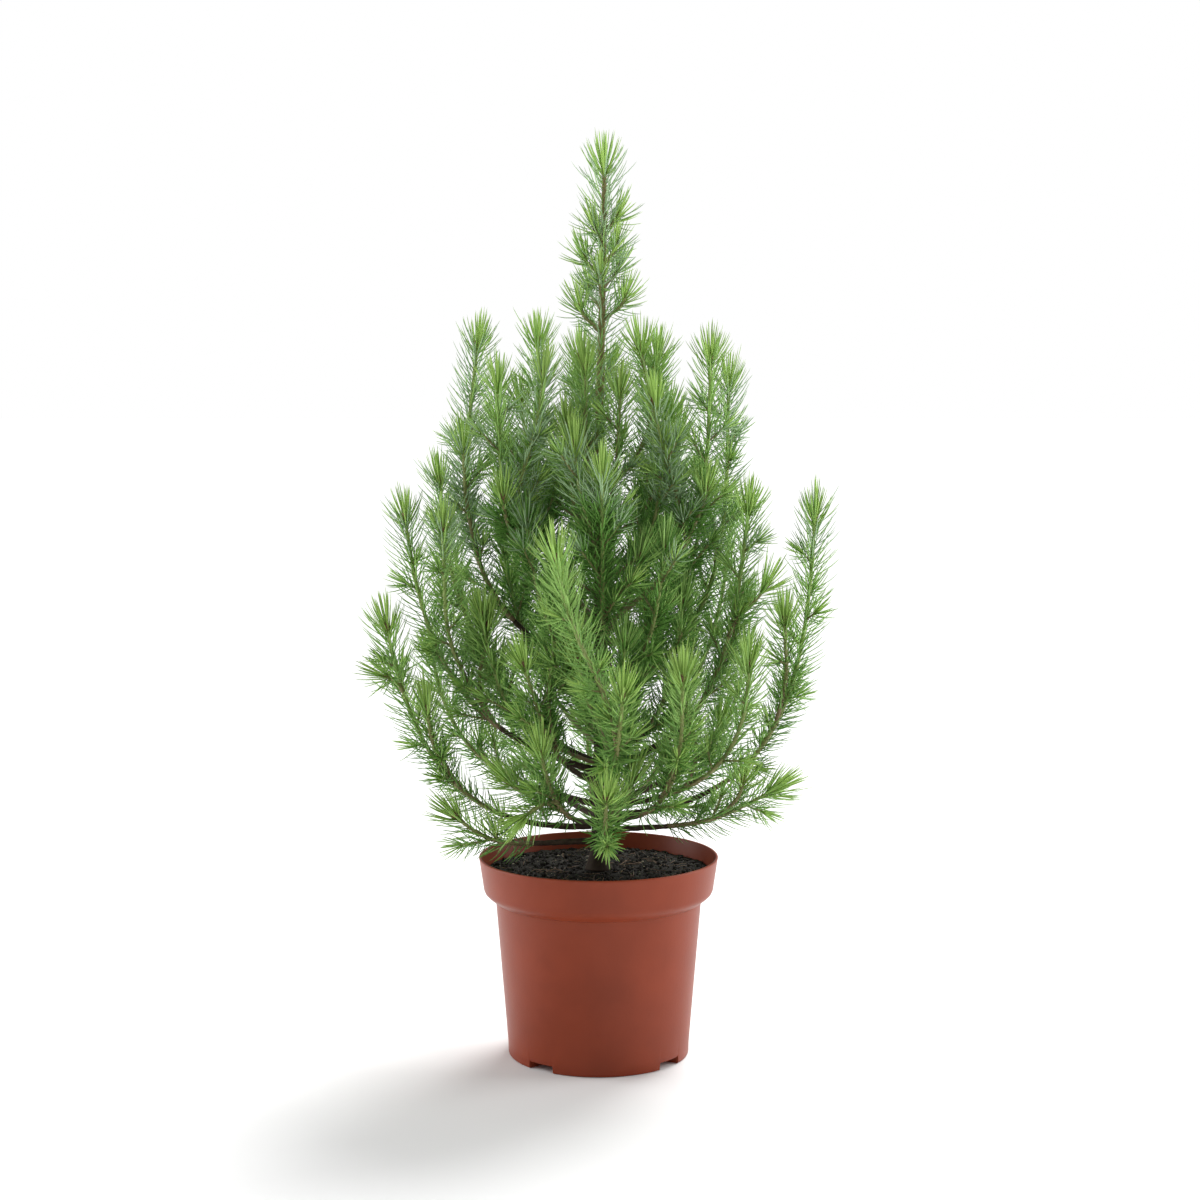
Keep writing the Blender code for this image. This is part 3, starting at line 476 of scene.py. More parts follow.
def grow_shoots(sizes):
    """Boughs' middle lines, and every leafy shoot: the limbs' stems and forks by the rule of
    the solids, the inner shoots, and the leader's side shoots, the last two turned by the
    golden angle from one to the next."""
    boughs, shoots = [], []
    for limb in LIMBS:
        curve = limb_curve(limb)
        total = length(curve)
        bare = limb.bare * total
        if limb.bare:
            boughs.append(cut(curve, 0, bare + GAP))
        shaded = max(SHADED - limb.bare, 0) * total
        long = sizes.needle_long * (LOW_NEEDLES if limb.height < LOW_LIMB else 1.0)
        shoots.append(Shoot(cut(curve, bare, total - TUFT_REACH), shaded, long, STEM_RADIUS))
        for fork in map(Fork._make, limb.forks):
            line = fork_curve(curve, fork, bare)
            line = cut(line, 0, length(line) - TUFT_REACH)
            shoots.append(Shoot(line, FORK_SHADED, long, radius=STEM_RADIUS * 0.9))
    long = sizes.needle_long * INNER_NEEDLES
    for k in range(INNER_SHOOTS):
        climb = k / (INNER_SHOOTS - 1)
        bearing = INNER_BEARING + GOLDEN_ANGLE * k
        root = INNER_FOOT + INNER_RISE * climb
        outward = direction(bearing, 0)
        reach = INNER_REACH - INNER_TAPER * climb + INNER_SPREAD * (k % 3)
        start = trunk_middle(root) + outward * trunk_radius(root)
        tip = outward * reach + UP * (root + INNER_TALL - INNER_SHRINK * climb)
        leave, arrive = direction(bearing, 20), direction(bearing, 80)
        line = curve_points(start, leave, tip, arrive)
        line = cut(line, 0, length(line))
        shoots.append(Shoot(line, bare=0.012, long=long, radius=STEM_RADIUS * 0.8))
    long = sizes.needle_long * SIDE_NEEDLES
    for k in range(SIDE_SHOOTS):
        climb = k / (SIDE_SHOOTS - 1)
        height = SIDE_FIRST + (SIDE_LAST - SIDE_FIRST) * climb
        bearing = SIDE_BEARING + GOLDEN_ANGLE * k
        reach = SIDE_LONG + (SIDE_SHORT - SIDE_LONG) * climb
        start = trunk_middle(height) + direction(bearing, 0) * trunk_radius(height)
        leave, arrive = direction(bearing, SIDE_SLOPE), direction(bearing, SIDE_SLOPE + 25)
        line = cut(curve_points(start, leave, start + leave * reach, arrive), 0, reach)
        shoots.append(Shoot(line, bare=0.003, long=long, radius=0.0010))
    return boughs, shoots


def circle(count):
    """Angles evenly round a circle, in radians."""
    return np.linspace(0, 2 * np.pi, count, endpoint=False)


def path_frames(paths):
    """Directions along, beside and across each path: the side is square to the path and to
    the plane in which the path bends, so that nothing carried along it twists."""
    along = unit(np.gradient(paths, axis=-2))
    bend = np.cross(along[..., :1, :], along[..., -1:, :])
    level = np.cross(along[..., :1, :], UP)
    bent = np.linalg.norm(bend, axis=-1, keepdims=True) > STRAIGHT
    normal = np.where(bent, unit(bend), level)
    east = np.broadcast_to(np.array([1.0, 0, 0]), normal.shape)
    normal = np.where(np.linalg.norm(normal, axis=-1, keepdims=True) > STRAIGHT, normal, east)
    side = unit(normal - along * (normal * along).sum(-1, keepdims=True))
    return along, side, np.cross(along, side)


def ring_faces(rings, sides):
    """Four-cornered faces between the rings of one closed tube."""
    i, k = np.meshgrid(np.arange(rings - 1), np.arange(sides), indexing="ij")
    n = (k + 1) % sides
    low, high = i * sides, (i + 1) * sides
    return joined(low + k, low + n, high + n, high + k).reshape(-1, 4)


def end_fans(rings, sides, first, last):
    """Three-cornered faces from the two pole vertices to the end rings."""
    k = np.arange(sides)
    n = (k + 1) % sides
    high = (rings - 1) * sides
    return np.concatenate([joined(first, n, k), joined(high + k, high + n, last)])


def tubes(paths, radii, sides):
    """Closed round tubes: each corner is the path's point plus the radius times the cosine
    of its angle sideways and the sine across. Radii are given by tube, ring and corner."""
    count, rings = paths.shape[:2]
    _, side, up = path_frames(paths)
    angles = circle(sides)[:, None]
    around = side[:, :, None] * np.cos(angles) + up[:, :, None] * np.sin(angles)
    corners = paths[:, :, None] + around * radii[..., None]
    poles = paths[:, [0, -1]]
    verts = np.concatenate([corners.reshape(count, -1, 3), poles], axis=1)
    each = rings * sides + 2
    start = (np.arange(count) * each)[:, None, None]
    quads = (ring_faces(rings, sides)[None] + start).reshape(-1, 4)
    fans = (end_fans(rings, sides, each - 2, each - 1)[None] + start).reshape(-1, 3)
    return verts.reshape(-1, 3), [quads, fans]


def turned(radii, heights, angles):
    """Closed surface turned round Z: corner (row, column) lies at its radius and angle, and
    a pole on the axis closes each end."""
    rows, columns = radii.shape
    corners = joined(radii * np.cos(angles), radii * np.sin(angles), heights)
    poles = np.array([[0, 0, heights[0].mean()], [0, 0, heights[-1].mean()]])
    verts = np.concatenate([corners.reshape(-1, 3), poles])
    last = rows * columns
    return verts, [ring_faces(rows, columns), end_fans(rows, columns, last, last + 1)]


def ripple(points, scale, seed, octaves):
    """Smooth noise from minus 1 to 1: sines of dot products with random directions, warped
    by one another and summed over octaves of doubling frequency."""
    rng = np.random.default_rng(seed)
    total = np.zeros(points.shape[:-1])
    weight, whole = 1.0, 0.0
    for _ in range(octaves):
        ways = unit(rng.normal(size=(3, 3))) * scale
        phase = rng.uniform(0, 2 * np.pi, 6)
        first = np.sin(points @ ways[0] + phase[0])
        second = np.sin(points @ ways[1] + phase[1] + 1.7 * first)
        total += weight * np.sin(points @ ways[2] + phase[2] + 1.9 * second)
        whole += weight
        weight *= 0.55
        scale *= 2.03
    return total / whole


def put(name, data):
    """Object with its data, in the scene."""
    made = bpy.data.objects.new(name, data)
    bpy.context.scene.collection.objects.link(made)
    return made


def piece(name, verts, faces, material, nodes=(), crease=None, along=None):
    """Mesh object from arrays, riding on the part and standing for the named solids."""
    mesh = bpy.data.meshes.new(name)
    corners = np.concatenate([f.ravel() for f in faces]).astype(np.int32)
    sizes = np.concatenate([np.full(len(f), f.shape[1]) for f in faces])
    starts = np.concatenate([[0], np.cumsum(sizes)[:-1]]).astype(np.int32)
    mesh.vertices.add(len(verts))
    mesh.vertices.foreach_set("co", np.asarray(verts, dtype=np.float32).ravel())
    mesh.loops.add(len(corners))
    mesh.loops.foreach_set("vertex_index", corners)
    mesh.polygons.add(len(sizes))
    mesh.polygons.foreach_set("loop_start", starts)
    mesh.update(calc_edges=True)
    mesh.polygons.foreach_set("use_smooth", np.ones(len(sizes), dtype=bool))
    if crease is not None:
        mesh.set_sharp_from_angle(angle=math.radians(crease))
    if along is not None:
        layer = mesh.attributes.new("along", "FLOAT", "POINT")
        layer.data.foreach_set("value", np.asarray(along, dtype=np.float32).ravel())
    if mesh.validate():
        raise RuntimeError(f"{name} has faulty faces")
    mesh.materials.append(material)
    made = put(name, mesh)
    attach(made, "root")
    if nodes:
        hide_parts(*nodes)


def add(tree, kind, **values):
    """Node of a kind, with the values of its inputs."""
    return fill(tree.nodes.new(kind), **values)


def fill(node, **values):
    """Sets a node's inputs, whose names have an underscore for a space."""
    for name, value in values.items():
        node.inputs[name.replace("_", " ")].default_value = value
    return node


def link(tree, *pairs):
    """Links, each from a node and its output to a node and its input."""
    for source, output, target, taken in pairs:
        tree.links.new(source.outputs[output], target.inputs[taken])


def surface_group():
    """Group, all on Object coordinates: a mask of soft noise that mottles two colours, and a
    fine height and a roughness that both follow finer noise."""
    tree = bpy.data.node_groups.new("surface", "ShaderNodeTree")
    for way, labels in (("INPUT", ("Mottle", "Grain", "Low", "High")),
                        ("OUTPUT", ("Mask", "Height", "Roughness"))):
        for label in labels:
            tree.interface.new_socket(label, in_out=way, socket_type="NodeSocketFloat")
    given, result = tree.nodes.new("NodeGroupInput"), tree.nodes.new("NodeGroupOutput")
    place = add(tree, "ShaderNodeTexCoord")
    mottle = add(tree, "ShaderNodeTexNoise", Detail=4)
    mask = add(tree, "ShaderNodeMapRange", From_Min=0.34, From_Max=0.66)
    grain = add(tree, "ShaderNodeTexNoise", Detail=5)
    rough = add(tree, "ShaderNodeMapRange")
    link(tree, (place, "Object", mottle, "Vector"), (given, "Mottle", mottle, "Scale"),
         (mottle, "Fac", mask, "Value"), (mask, "Result", result, "Mask"),
         (place, "Object", grain, "Vector"), (given, "Grain", grain, "Scale"),
         (grain, "Fac", rough, "Value"), (given, "Low", rough, "To Min"),
         (given, "High", rough, "To Max"), (grain, "Fac", result, "Height"),
         (rough, "Result", result, "Roughness"))
    return tree


def finish(name, colour, other, kind=None):
    """Material: two colours mixed by the group's mask, or by the mesh's own attribute where
    the look has no mottling, and grain for the roughness and the relief."""
    look = LOOKS[kind or name]
    made = bpy.data.materials.new(name)
    made.use_nodes = True
    tree = made.node_tree
    shader = fill(tree.nodes["Principled BSDF"], Specular_IOR_Level=look.specular)
    skin = add(tree, "ShaderNodeGroup")
    skin.node_tree = bpy.data.node_groups.get("surface") or surface_group()
    fill(skin, Mottle=look.mottle, Grain=look.grain, Low=look.smooth, High=look.rough)
    tone = add(tree, "ShaderNodeMix")
    tone.data_type = "RGBA"
    fill(tone, A=(*colour, 1), B=(*other, 1))
    if look.mottle:
        link(tree, (skin, "Mask", tone, "Factor"))
    else:
        age = add(tree, "ShaderNodeAttribute")
        age.attribute_name = "along"
        link(tree, (age, "Fac", tone, "Factor"))
    relief = add(tree, "ShaderNodeBump", Strength=look.relief, Distance=RELIEF_DEPTH)
    link(tree, (tone, "Result", shader, "Base Color"), (skin, "Roughness", shader, "Roughness"),
         (skin, "Height", relief, "Height"), (relief, "Normal", shader, "Normal"))
    return made


def shade(colour, factor):
    """A colour made lighter or darker."""
    return tuple(min(channel * factor, 1.0) for channel in colour)


def pot_profile():
    """Radius and height of the pot's rows from under its middle, up the outside, over the
    lip and down the inside, and which rows the foot's notches lift."""
    under = [(r, 0.0) for r in UNDER_RADII]
    notched = [(r, 0.0) for r in NOTCH_RADII] + [(BASE_RADIUS - r, h) for r, h in FOOT_EDGE]
    wall = [(BASE_RADIUS + (NECK_RADIUS - BASE_RADIUS) * s, WALL_FOOT + (NECK - WALL_FOOT) * s)
            for s in np.linspace(0.02, 1, 12)]
    step = [(NECK_RADIUS + r, NECK + h) for r, h in NECK_STEP]
    step += [(BAND_RADIUS - r, RIM_FOOT + h) for r, h in RIM_STEP]
    band = [(BAND_RADIUS + RIM_SLOPE * s, RIM_FOOT + s) for s in np.linspace(*BAND, 5)]
    half = WALL / 2
    lip = [(RIM_RADIUS - half + half * math.cos(a), POT_HEIGHT - half + half * math.sin(a))
           for a in np.linspace(0, np.pi, 7)]
    inside = [(BAND_RADIUS - WALL, RIM_FOOT), (NECK_RADIUS - WALL, NECK),
              (BASE_RADIUS - WALL, FLOOR + CHANNEL_RISE), (CHANNEL, FLOOR + CHANNEL_RISE),
              (CHANNEL - CHANNEL_EDGE, FLOOR)]
    rows = under + notched + wall + step + band + lip + inside
    lifted = np.zeros(len(rows), dtype=bool)
    lifted[len(under):len(under) + len(notched)] = True
    return np.array(rows), lifted


class PINE_OT_pot(bpy.types.Operator):
    """Make the nursery pot with its banded rim, stepped neck and notched foot"""

    bl_idname = "pine.pot"
    bl_label = "Pot"

    def execute(self, context):
        colours = context.scene.pine_colours
        rows, lifted = pot_profile()
        edges = [bearing - 90 + side * (NOTCH_HALF + off) for bearing in NOTCH_BEARINGS
                 for side in (-1, 1) for off in (0.0, NOTCH_EDGE)]
        # The shift keeps the even columns off the notches' edges
        turns = np.arange(0, 360, 1.5) + 0.11
        turns = np.sort(np.concatenate([turns, np.mod(edges, 360)]))
        centre = np.array(NOTCH_BEARINGS)[:, None] - 90
        off = np.abs((turns[None] - centre + 180) % 360 - 180).min(axis=0)
        notch = np.where(off < NOTCH_HALF + NOTCH_EDGE / 2, NOTCH_HEIGHT, 0.0)
        radii = np.repeat(rows[:, :1], len(turns), axis=1)
        heights = np.repeat(rows[:, 1:], len(turns), axis=1)
        heights = np.where(lifted[:, None], heights + notch, heights)
        heights[np.flatnonzero(lifted)[-1] + 1] += notch * NOTCH_TRACE
        verts, faces = turned(radii, heights, np.radians(turns))
        made = finish("pot_plastic", colours.pot, shade(colours.pot, POT_SHADE))
        piece("pot_shell", verts, faces, made, ["pot"], crease=32)
        return {"FINISHED"}


def peat_height(x, y, relief):
    """Height of the peat: a low mound round the trunk with lumps and crumbs of noise, which
    fade out under the trunk's foot."""
    reach = np.hypot(x, y)
    mound = SOIL_CROWN * np.clip(1 - reach / CROWN_REACH, 0, 1)
    where = joined(x, y, 0)
    lumps = (ripple(where, scale=240, seed=3, octaves=3) * 0.6
             + ripple(where, scale=900, seed=4, octaves=4) * 0.4)
    away = np.clip((reach - COLLAR) / COLLAR_FADE, 0, 1)
    return SOIL_TOP + mound + relief * lumps * away


class PINE_OT_peat(bpy.types.Operator):
    """Make the peat, its crumbs, pale grains and fibres"""

    bl_idname = "pine.peat"
    bl_label = "Peat"

    def execute(self, context):
        sizes, colours = context.scene.pine_sizes, context.scene.pine_colours
        edge = BAND_RADIUS - WALL + RIM_SLOPE * (SOIL_TOP - POT_HEIGHT + RIM_DEPTH) - 2 * GAP
        angles = circle(240)
        low = [(UNDER_RADII[0], FLOOR + GAP),
               (CHANNEL - (CHANNEL_EDGE + PEAT_INSET), FLOOR + GAP),
               (CHANNEL - PEAT_INSET, FLOOR + CHANNEL_RISE + GAP),
               (BASE_RADIUS - WALL - 2 * GAP, FLOOR + CHANNEL_RISE + GAP),
               (NECK_RADIUS - WALL - 2 * GAP, NECK), (BAND_RADIUS - WALL - 2 * GAP, RIM_FOOT)]
        reach = np.linspace(edge, PEAT_MIDDLE, 70)
        radii = np.concatenate([[r for r, _ in low], reach])[:, None] + 0 * angles
        heights = np.concatenate([[h for _, h in low], 0 * reach])[:, None] + 0 * angles
        top = peat_height(radii * np.cos(angles), radii * np.sin(angles), sizes.peat_relief)
        heights[len(low):] = top[len(low):]
        verts, faces = turned(radii, heights, angles)
        peat = finish("peat", colours.peat, shade(colours.peat, PEAT_SHADE))
        piece("peat_bed", verts, faces, peat, ["soil"])
        rng = np.random.default_rng(21)
        self.scatter("peat_crumbs", peat, edge, rng, sizes, count=sizes.crumbs,
                     small=0.0004, large=0.0016)
        pale = finish("pale_grain", *PALE_GRAIN)
        self.scatter("pale_grains", pale, edge, rng, sizes, count=150, small=0.0003,
                     large=0.0008)
        self.fibres(edge, rng, sizes)
        return {"FINISHED"}

    def scatter(self, name, material, edge, rng, sizes, count, small, large):
        """Irregular lumps of twenty faces: the corners of a regular icosahedron, each pushed
        in or out at random and the whole stretched, laid on the peat with a good third of
        their height sunk in. Small ones are the more common."""
        g = (1 + 5 ** 0.5) / 2
        base = np.array([(-1, g, 0), (1, g, 0), (-1, -g, 0), (1, -g, 0), (0, -1, g), (0, 1, g),
                         (0, -1, -g), (0, 1, -g), (g, 0, -1), (g, 0, 1), (-g, 0, -1), (-g, 0, 1)])
        sides = np.array([(0, 11, 5), (0, 5, 1), (0, 1, 7), (0, 7, 10), (0, 10, 11), (1, 5, 9),
                          (5, 11, 4), (11, 10, 2), (10, 7, 6), (7, 1, 8), (3, 9, 4), (3, 4, 2),
                          (3, 2, 6), (3, 6, 8), (3, 8, 9), (4, 9, 5), (2, 4, 11), (6, 2, 10),
                          (8, 6, 7), (9, 8, 1)])
        x, y = self.scattered(edge - LUMP_ROOM, 0.02, count, rng)
        radius = small + (large - small) * rng.uniform(0, 1, count) ** 2.5
        shape = unit(base)[None] * rng.uniform(0.65, 1.2, (count, 12, 1))
        shape = shape * rng.uniform(0.6, 1.2, (count, 1, 3)) * radius[:, None, None]
        z = peat_height(x, y, sizes.peat_relief) + radius * 0.25
        verts = shape + joined(x, y, z)[:, None]
        faces = (sides[None] + (np.arange(count) * 12)[:, None, None]).reshape(-1, 3)
        piece(name, verts.reshape(-1, 3), [faces], material)

    def fibres(self, edge, rng, sizes):
        """Bent straws on the peat: each is a quadratic arc between two points, lifted a
        little at its middle."""
        count, rings, sides = 110, 9, 4
        lift, rise, bend = 0.0004, 0.0012, 0.25
        x, y = self.scattered(edge - FIBRE_ROOM, 0.03, count, rng)
        way = rng.uniform(0, 2 * np.pi, count)[:, None]
        long = rng.uniform(0.003, 0.012, count)[:, None]
        t = np.linspace(-0.5, 0.5, rings)
        arch = 0.25 - t ** 2
        bow = rng.uniform(-bend, bend, count)[:, None] * arch
        px = x[:, None] + long * (t * np.cos(way) - bow * np.sin(way))
        py = y[:, None] + long * (t * np.sin(way) + bow * np.cos(way))
        pz = peat_height(px, py, sizes.peat_relief) + lift + rise * arch
        thick = rng.uniform(0.00012, 0.00028, count)[:, None, None] * np.ones((1, rings, sides))
        verts, faces = tubes(joined(px, py, pz), thick, sides)
        piece("fibres", verts, faces, finish("straw", *STRAW))

    def scattered(self, reach, least, count, rng):
        """Random places on a disc, even over its area, save for a least share of it."""
        turn = rng.uniform(0, 2 * np.pi, count)
        reach = np.sqrt(rng.uniform(least, 1, count)) * reach
        return reach * np.cos(turn), reach * np.sin(turn)


class PINE_OT_bark(bpy.types.Operator):
    """Make the trunk and the boughs with the relief of their bark"""

    bl_idname = "pine.bark"
    bl_label = "Bark"

    def execute(self, context):
        sizes, colours = context.scene.pine_sizes, context.scene.pine_colours
        bark = finish("bark", colours.bark, shade(colours.bark, BARK_SHADE))
        skin = finish("trunk_bark", colours.bark, colours.bark_young)
        heights = np.linspace(TRUNK_FOOT, TRUNK_TIP, TRUNK_RINGS)
        path = trunk_middle(heights)[None]
        radii = self.relief(path, trunk_radius(heights)[None], TRUNK_SIDES, sizes.bark_relief)
        verts, faces = tubes(path, radii, TRUNK_SIDES)
        young = np.clip((verts[:, 2] - YOUNG_BARK_FOOT) / YOUNG_BARK_RUN, 0, 1) ** 1.3
        piece("trunk_bark", verts, faces, skin, ["trunk"], along=young)
        boughs, _ = grow_shoots(sizes)
        paths = np.stack(boughs)
        taper = np.linspace(BOUGH_RADIUS, STEM_RADIUS, paths.shape[1]) + np.zeros((len(paths), 1))
        radii = self.relief(paths, taper, BOUGH_SIDES, sizes.bark_relief * BOUGH_RELIEF)
        verts, faces = tubes(paths, radii, BOUGH_SIDES)
        piece("bough_bark", verts, faces, bark, BOUGHS)
        return {"FINISHED"}

    def relief(self, paths, radii, sides, height):
        """Radius of each corner: the limb's own, plus noise that is stretched along the limb
        and cut off above, so that it leaves flat plates with furrows between them, plus scars
        where the product of two sines is high."""
        angles = circle(sides)
        along = np.linalg.norm(np.diff(paths, axis=1, prepend=paths[:, :1]), axis=-1)
        along = np.cumsum(along, axis=1)[..., None] + np.arange(len(paths))[:, None, None]
        around = radii[..., None] * np.ones(sides)
        where = joined(around * np.cos(angles), around * np.sin(angles), along * BARK_STRETCH)
        plates = np.minimum(ripple(where, scale=1500, seed=8, octaves=3) * 1.4, PLATE_TOP)
        scars = np.sin(along * SCAR_ROWS + 5 * angles) * np.sin(angles * 8)
        scars = np.maximum(scars, SCAR_FOOT) - SCAR_FOOT
        return around + height * (plates + SCAR_HEIGHT * scars - BARK_SINK)


class PINE_OT_twigs(bpy.types.Operator):
    """Make the leafy stems, brown at the foot and lime green at the tip, and their buds"""

    bl_idname = "pine.twigs"
    bl_label = "Twigs and buds"

    def execute(self, context):
        sizes, colours = context.scene.pine_sizes, context.scene.pine_colours
        boughs, shoots = grow_shoots(sizes)
        stem = finish("stem", colours.stem_old, colours.stem_young)
        self.stems("twigs", shoots, stem, rings=36, sides=7)
        self.stems("sprigs", grow_sprigs(shoots, boughs, sizes), stem, rings=6, sides=5)
        self.buds(shoots)
        return {"FINISHED"}

    def stems(self, name, shoots, material, rings, sides):
        """Tapering tubes along the shoots, with low pegs where the needles stand. Their age
        colour runs with the length from the foot, and short shoots start part of the way."""
        total = [length(s.points) for s in shoots]
        paths = np.stack([cut(s.points, 0, t, rings) for s, t in zip(shoots, total)])
        foot = np.array([s.radius for s in shoots])[:, None, None]
        climb = np.linspace(0, 1, rings)[None, :, None]
        taper = foot + (np.minimum(foot, STEM_TIP) - foot) * climb
        pegs = np.sin(np.arange(rings)[:, None] * 2.4 + np.arange(sides) * 2.69)
        radii = taper * (1 + PEG_HEIGHT * pegs)[None]
        verts, faces = tubes(paths, radii, sides)
        total = np.array(total)[:, None, None]
        age = np.clip(climb * total / YOUNG_STEM + SHORT_AGE * (total < LONG_SHOOT), 0, 1)
        age = age + 0 * radii
        ends = joined(age[:, 0, 0], age[:, -1, 0])
        along = np.concatenate([age.reshape(len(shoots), -1), ends], axis=1)
        piece(name, verts, faces, material, MASSES, along=along)

    def buds(self, shoots):
        """Scaly buds: spindles whose radius is a power of a half sine of the length, with
        spiral scales from a sine of the angle and the length."""
        rings, sides = 12, 12
        tips = np.stack([s.points[-1] for s in shoots])
        way = unit(np.stack([s.points[-1] - s.points[-4] for s in shoots]))
        s = np.linspace(0, 1, rings)
        long = np.array([BUD_LONG if length(x.points) > LONG_SHOOT else BUD_SHORT for x in shoots])
        paths = tips[:, None] + way[:, None] * (long[:, None] * (s - BUD_SUNK))[..., None]
        angles = circle(sides)
        swell = np.sin(np.pi * np.minimum(s + 0.12, 1)) ** 0.8
        body = BUD_LEAST + BUD_STOUT * long[:, None, None] * swell[None, :, None]
        scales = 1 + BUD_SCALES * np.sin(4 * angles[None] + 26 * s[:, None])
        verts, faces = tubes(paths, body * scales[None], sides)
        piece("buds", verts, faces, finish("bud", *BUD))


def grow_sprigs(shoots, boughs, sizes):
    """Short side sprigs on the longer shoots and the outer part of the boughs, turned by the
    golden angle from one to the next. They are long inside the crown and short near its
    outline, where they stay within the reach of the shoot's own needles."""
    rng = np.random.default_rng(5)
    sprigs = []
    carriers = [Shoot(b, BARE_BOUGH * length(b), long=0, radius=0) for b in boughs]
    needles = sizes.needle_long * SPRIG_NEEDLES
    for shoot in shoots + carriers:
        total = length(shoot.points)
        count = int((total - shoot.bare - (SPRIG_FIRST + SPRIG_LAST)) / sizes.sprig_step)
        if count < 1 or total < LONG_SHOOT:
            continue
        steps = np.arange(count) + rng.uniform(0, 0.6, count)
        wanted = shoot.bare + SPRIG_FIRST + sizes.sprig_step * steps
        roots = resample(shoot.points, wanted)
        ahead = unit(resample(shoot.points, wanted + 0.001) - roots)
        turn = np.radians(GOLDEN_ANGLE) * np.arange(count) + rng.uniform(0, 6)
        way = unit(square_to(ahead, SPRIG_START, turn) + ahead * SPRIG_AHEAD)
        for root, first in zip(roots, way):
            inside = np.clip((SPRIG_REACH - np.hypot(root[0], root[1])) / SPRIG_REACH_FADE, 0, 1)
            inside *= np.clip((SPRIG_TOP - root[2]) / SPRIG_TOP_FADE, 0, 1)
            long = rng.uniform(SPRIG_SHORTEST, SPRIG_SHORT) + SPRIG_LONGER * inside
            first = unit(first + UP * SPRIG_LIFT * inside)
            line = root + first * np.linspace(0, long, 8)[:, None]
            sprigs.append(Shoot(line, bare=0.0012, long=needles, radius=SPRIG_RADIUS))
    return sprigs


def square_to(ahead, start, turn):
    """Directions square to ahead, turned from the one that is square to start as well."""
    side = unit(np.cross(ahead, np.array(start)))
    up = np.cross(ahead, side)
    return side * np.cos(turn)[:, None] + up * np.sin(turn)[:, None]


def needle_rule(shoots, sizes):
    """Root, first direction, axis, length and group of every needle. Needles stand round a
    shoot by the golden angle and lean from its axis by 68 degrees at its foot and 46 at its
    tip, and those of the tuft close in on the axis."""
    rng = np.random.default_rng(11)
    found = []
    for shoot in shoots:
        total = length(shoot.points)
        sprig = shoot.radius == SPRIG_RADIUS
        spacing, depth, fresh_and_lit = ON_SPRIG if sprig else ON_SHOOT
        step = sizes.needle_step * spacing
        count = max(int((total - shoot.bare) / step), 1)
        sideways = shoot.bare + step * (np.arange(count) + rng.uniform(0, 0.7, count))
        sideways = np.minimum(sideways, total - 0.0002)
        share = SPRIG_TUFT if sprig else min(1.0, TUFT_LEAST + total / TUFT_FULL)
        inner = np.linspace(0, 1, int(sizes.tuft_needles * share))
        wanted = np.concatenate([sideways, total - depth * (1 - inner)])
        climb = np.clip((wanted - shoot.bare) / max(total - shoot.bare, 1e-4), 0, 1)
        lean = np.concatenate([SHOOT_LEAN - SHOOT_LEAN_LOSS * climb[:count] ** 2,
                               TUFT_LEAN - TUFT_LEAN_LOSS * inner ** 0.8])
        lean = np.radians(lean + rng.normal(0, 6, len(wanted)))[:, None]
        points = resample(shoot.points, wanted)
        near, far = np.minimum(wanted, total - AHEAD), np.minimum(wanted + AHEAD, total)
        ahead = unit(resample(shoot.points, far) - resample(shoot.points, near))
        turn = np.radians(GOLDEN_ANGLE) * np.arange(len(wanted)) + rng.uniform(0, 6)
        turn = turn + rng.normal(0, 0.25, len(wanted))
        outward = square_to(ahead, NEEDLE_START, turn)
        way = outward * np.sin(lean) + ahead * np.cos(lean)
        long = shoot.long * rng.normal(1, 0.09, len(wanted))
        long[count:] *= TUFT_LONGER
        long[:count] *= np.clip(FOOT_SHARE + TIP_GAIN * climb[:count], 0, MOST_SHARE)
        mood = rng.uniform()
        group = needle_groups(points, climb, np.arange(len(wanted)) >= count, mood, fresh_and_lit, rng)
        found.append((points + outward * NEEDLE_SEAT, way, ahead, long, group))
    return [np.concatenate(column) for column in zip(*found)]


def needle_groups(points, climb, is_tuft, mood, fresh_and_lit, rng):
    """Needle group by place: tufts are freshest, lightened further by painted light that shines
    through them, the outer half of a shoot is young, needles low inside the crown are deep green,
    which is older needles' darker green plus painted shade, and part of the upper crown is
    blue-green."""
    reach, height = np.hypot(points[:, 0], points[:, 1]), points[:, 2]
    widening = INSIDE_REACH + INSIDE_WIDENS * (height - INSIDE_FOOT)
    inside = (height < INSIDE_TOP) & (reach < widening)
    chance = UPPER_SHARE * (mood > UPPER_MOOD)
    upper = (height > UPPER_FOOT) & (rng.uniform(size=len(points)) < chance)
    dice = climb + rng.normal(0, 0.16, len(points))
    group = np.where(dice > YOUNG_FROM, YOUNG, MIDDLE)
    group = np.where(upper, GREY, group)
    # Needles inside the crown and at the foot of low shoots take the deep colour: older needles'
    # darker green plus painted shade
    group = np.where(inside & (dice < SHADED_DEEP_UP_TO), SHADED_DEEP, group)
    group = np.where((height < SKIRT_TOP) & (dice < SKIRT_SHADED_DEEP_UP_TO), SHADED_DEEP, group)
    # Tufts outside the crown take the tuft colour: fresh lime plus painted light shining through
    fresh_and_lit = is_tuft & (rng.uniform(size=len(points)) < fresh_and_lit) & ~inside
    return np.where(fresh_and_lit, TUFT, group)


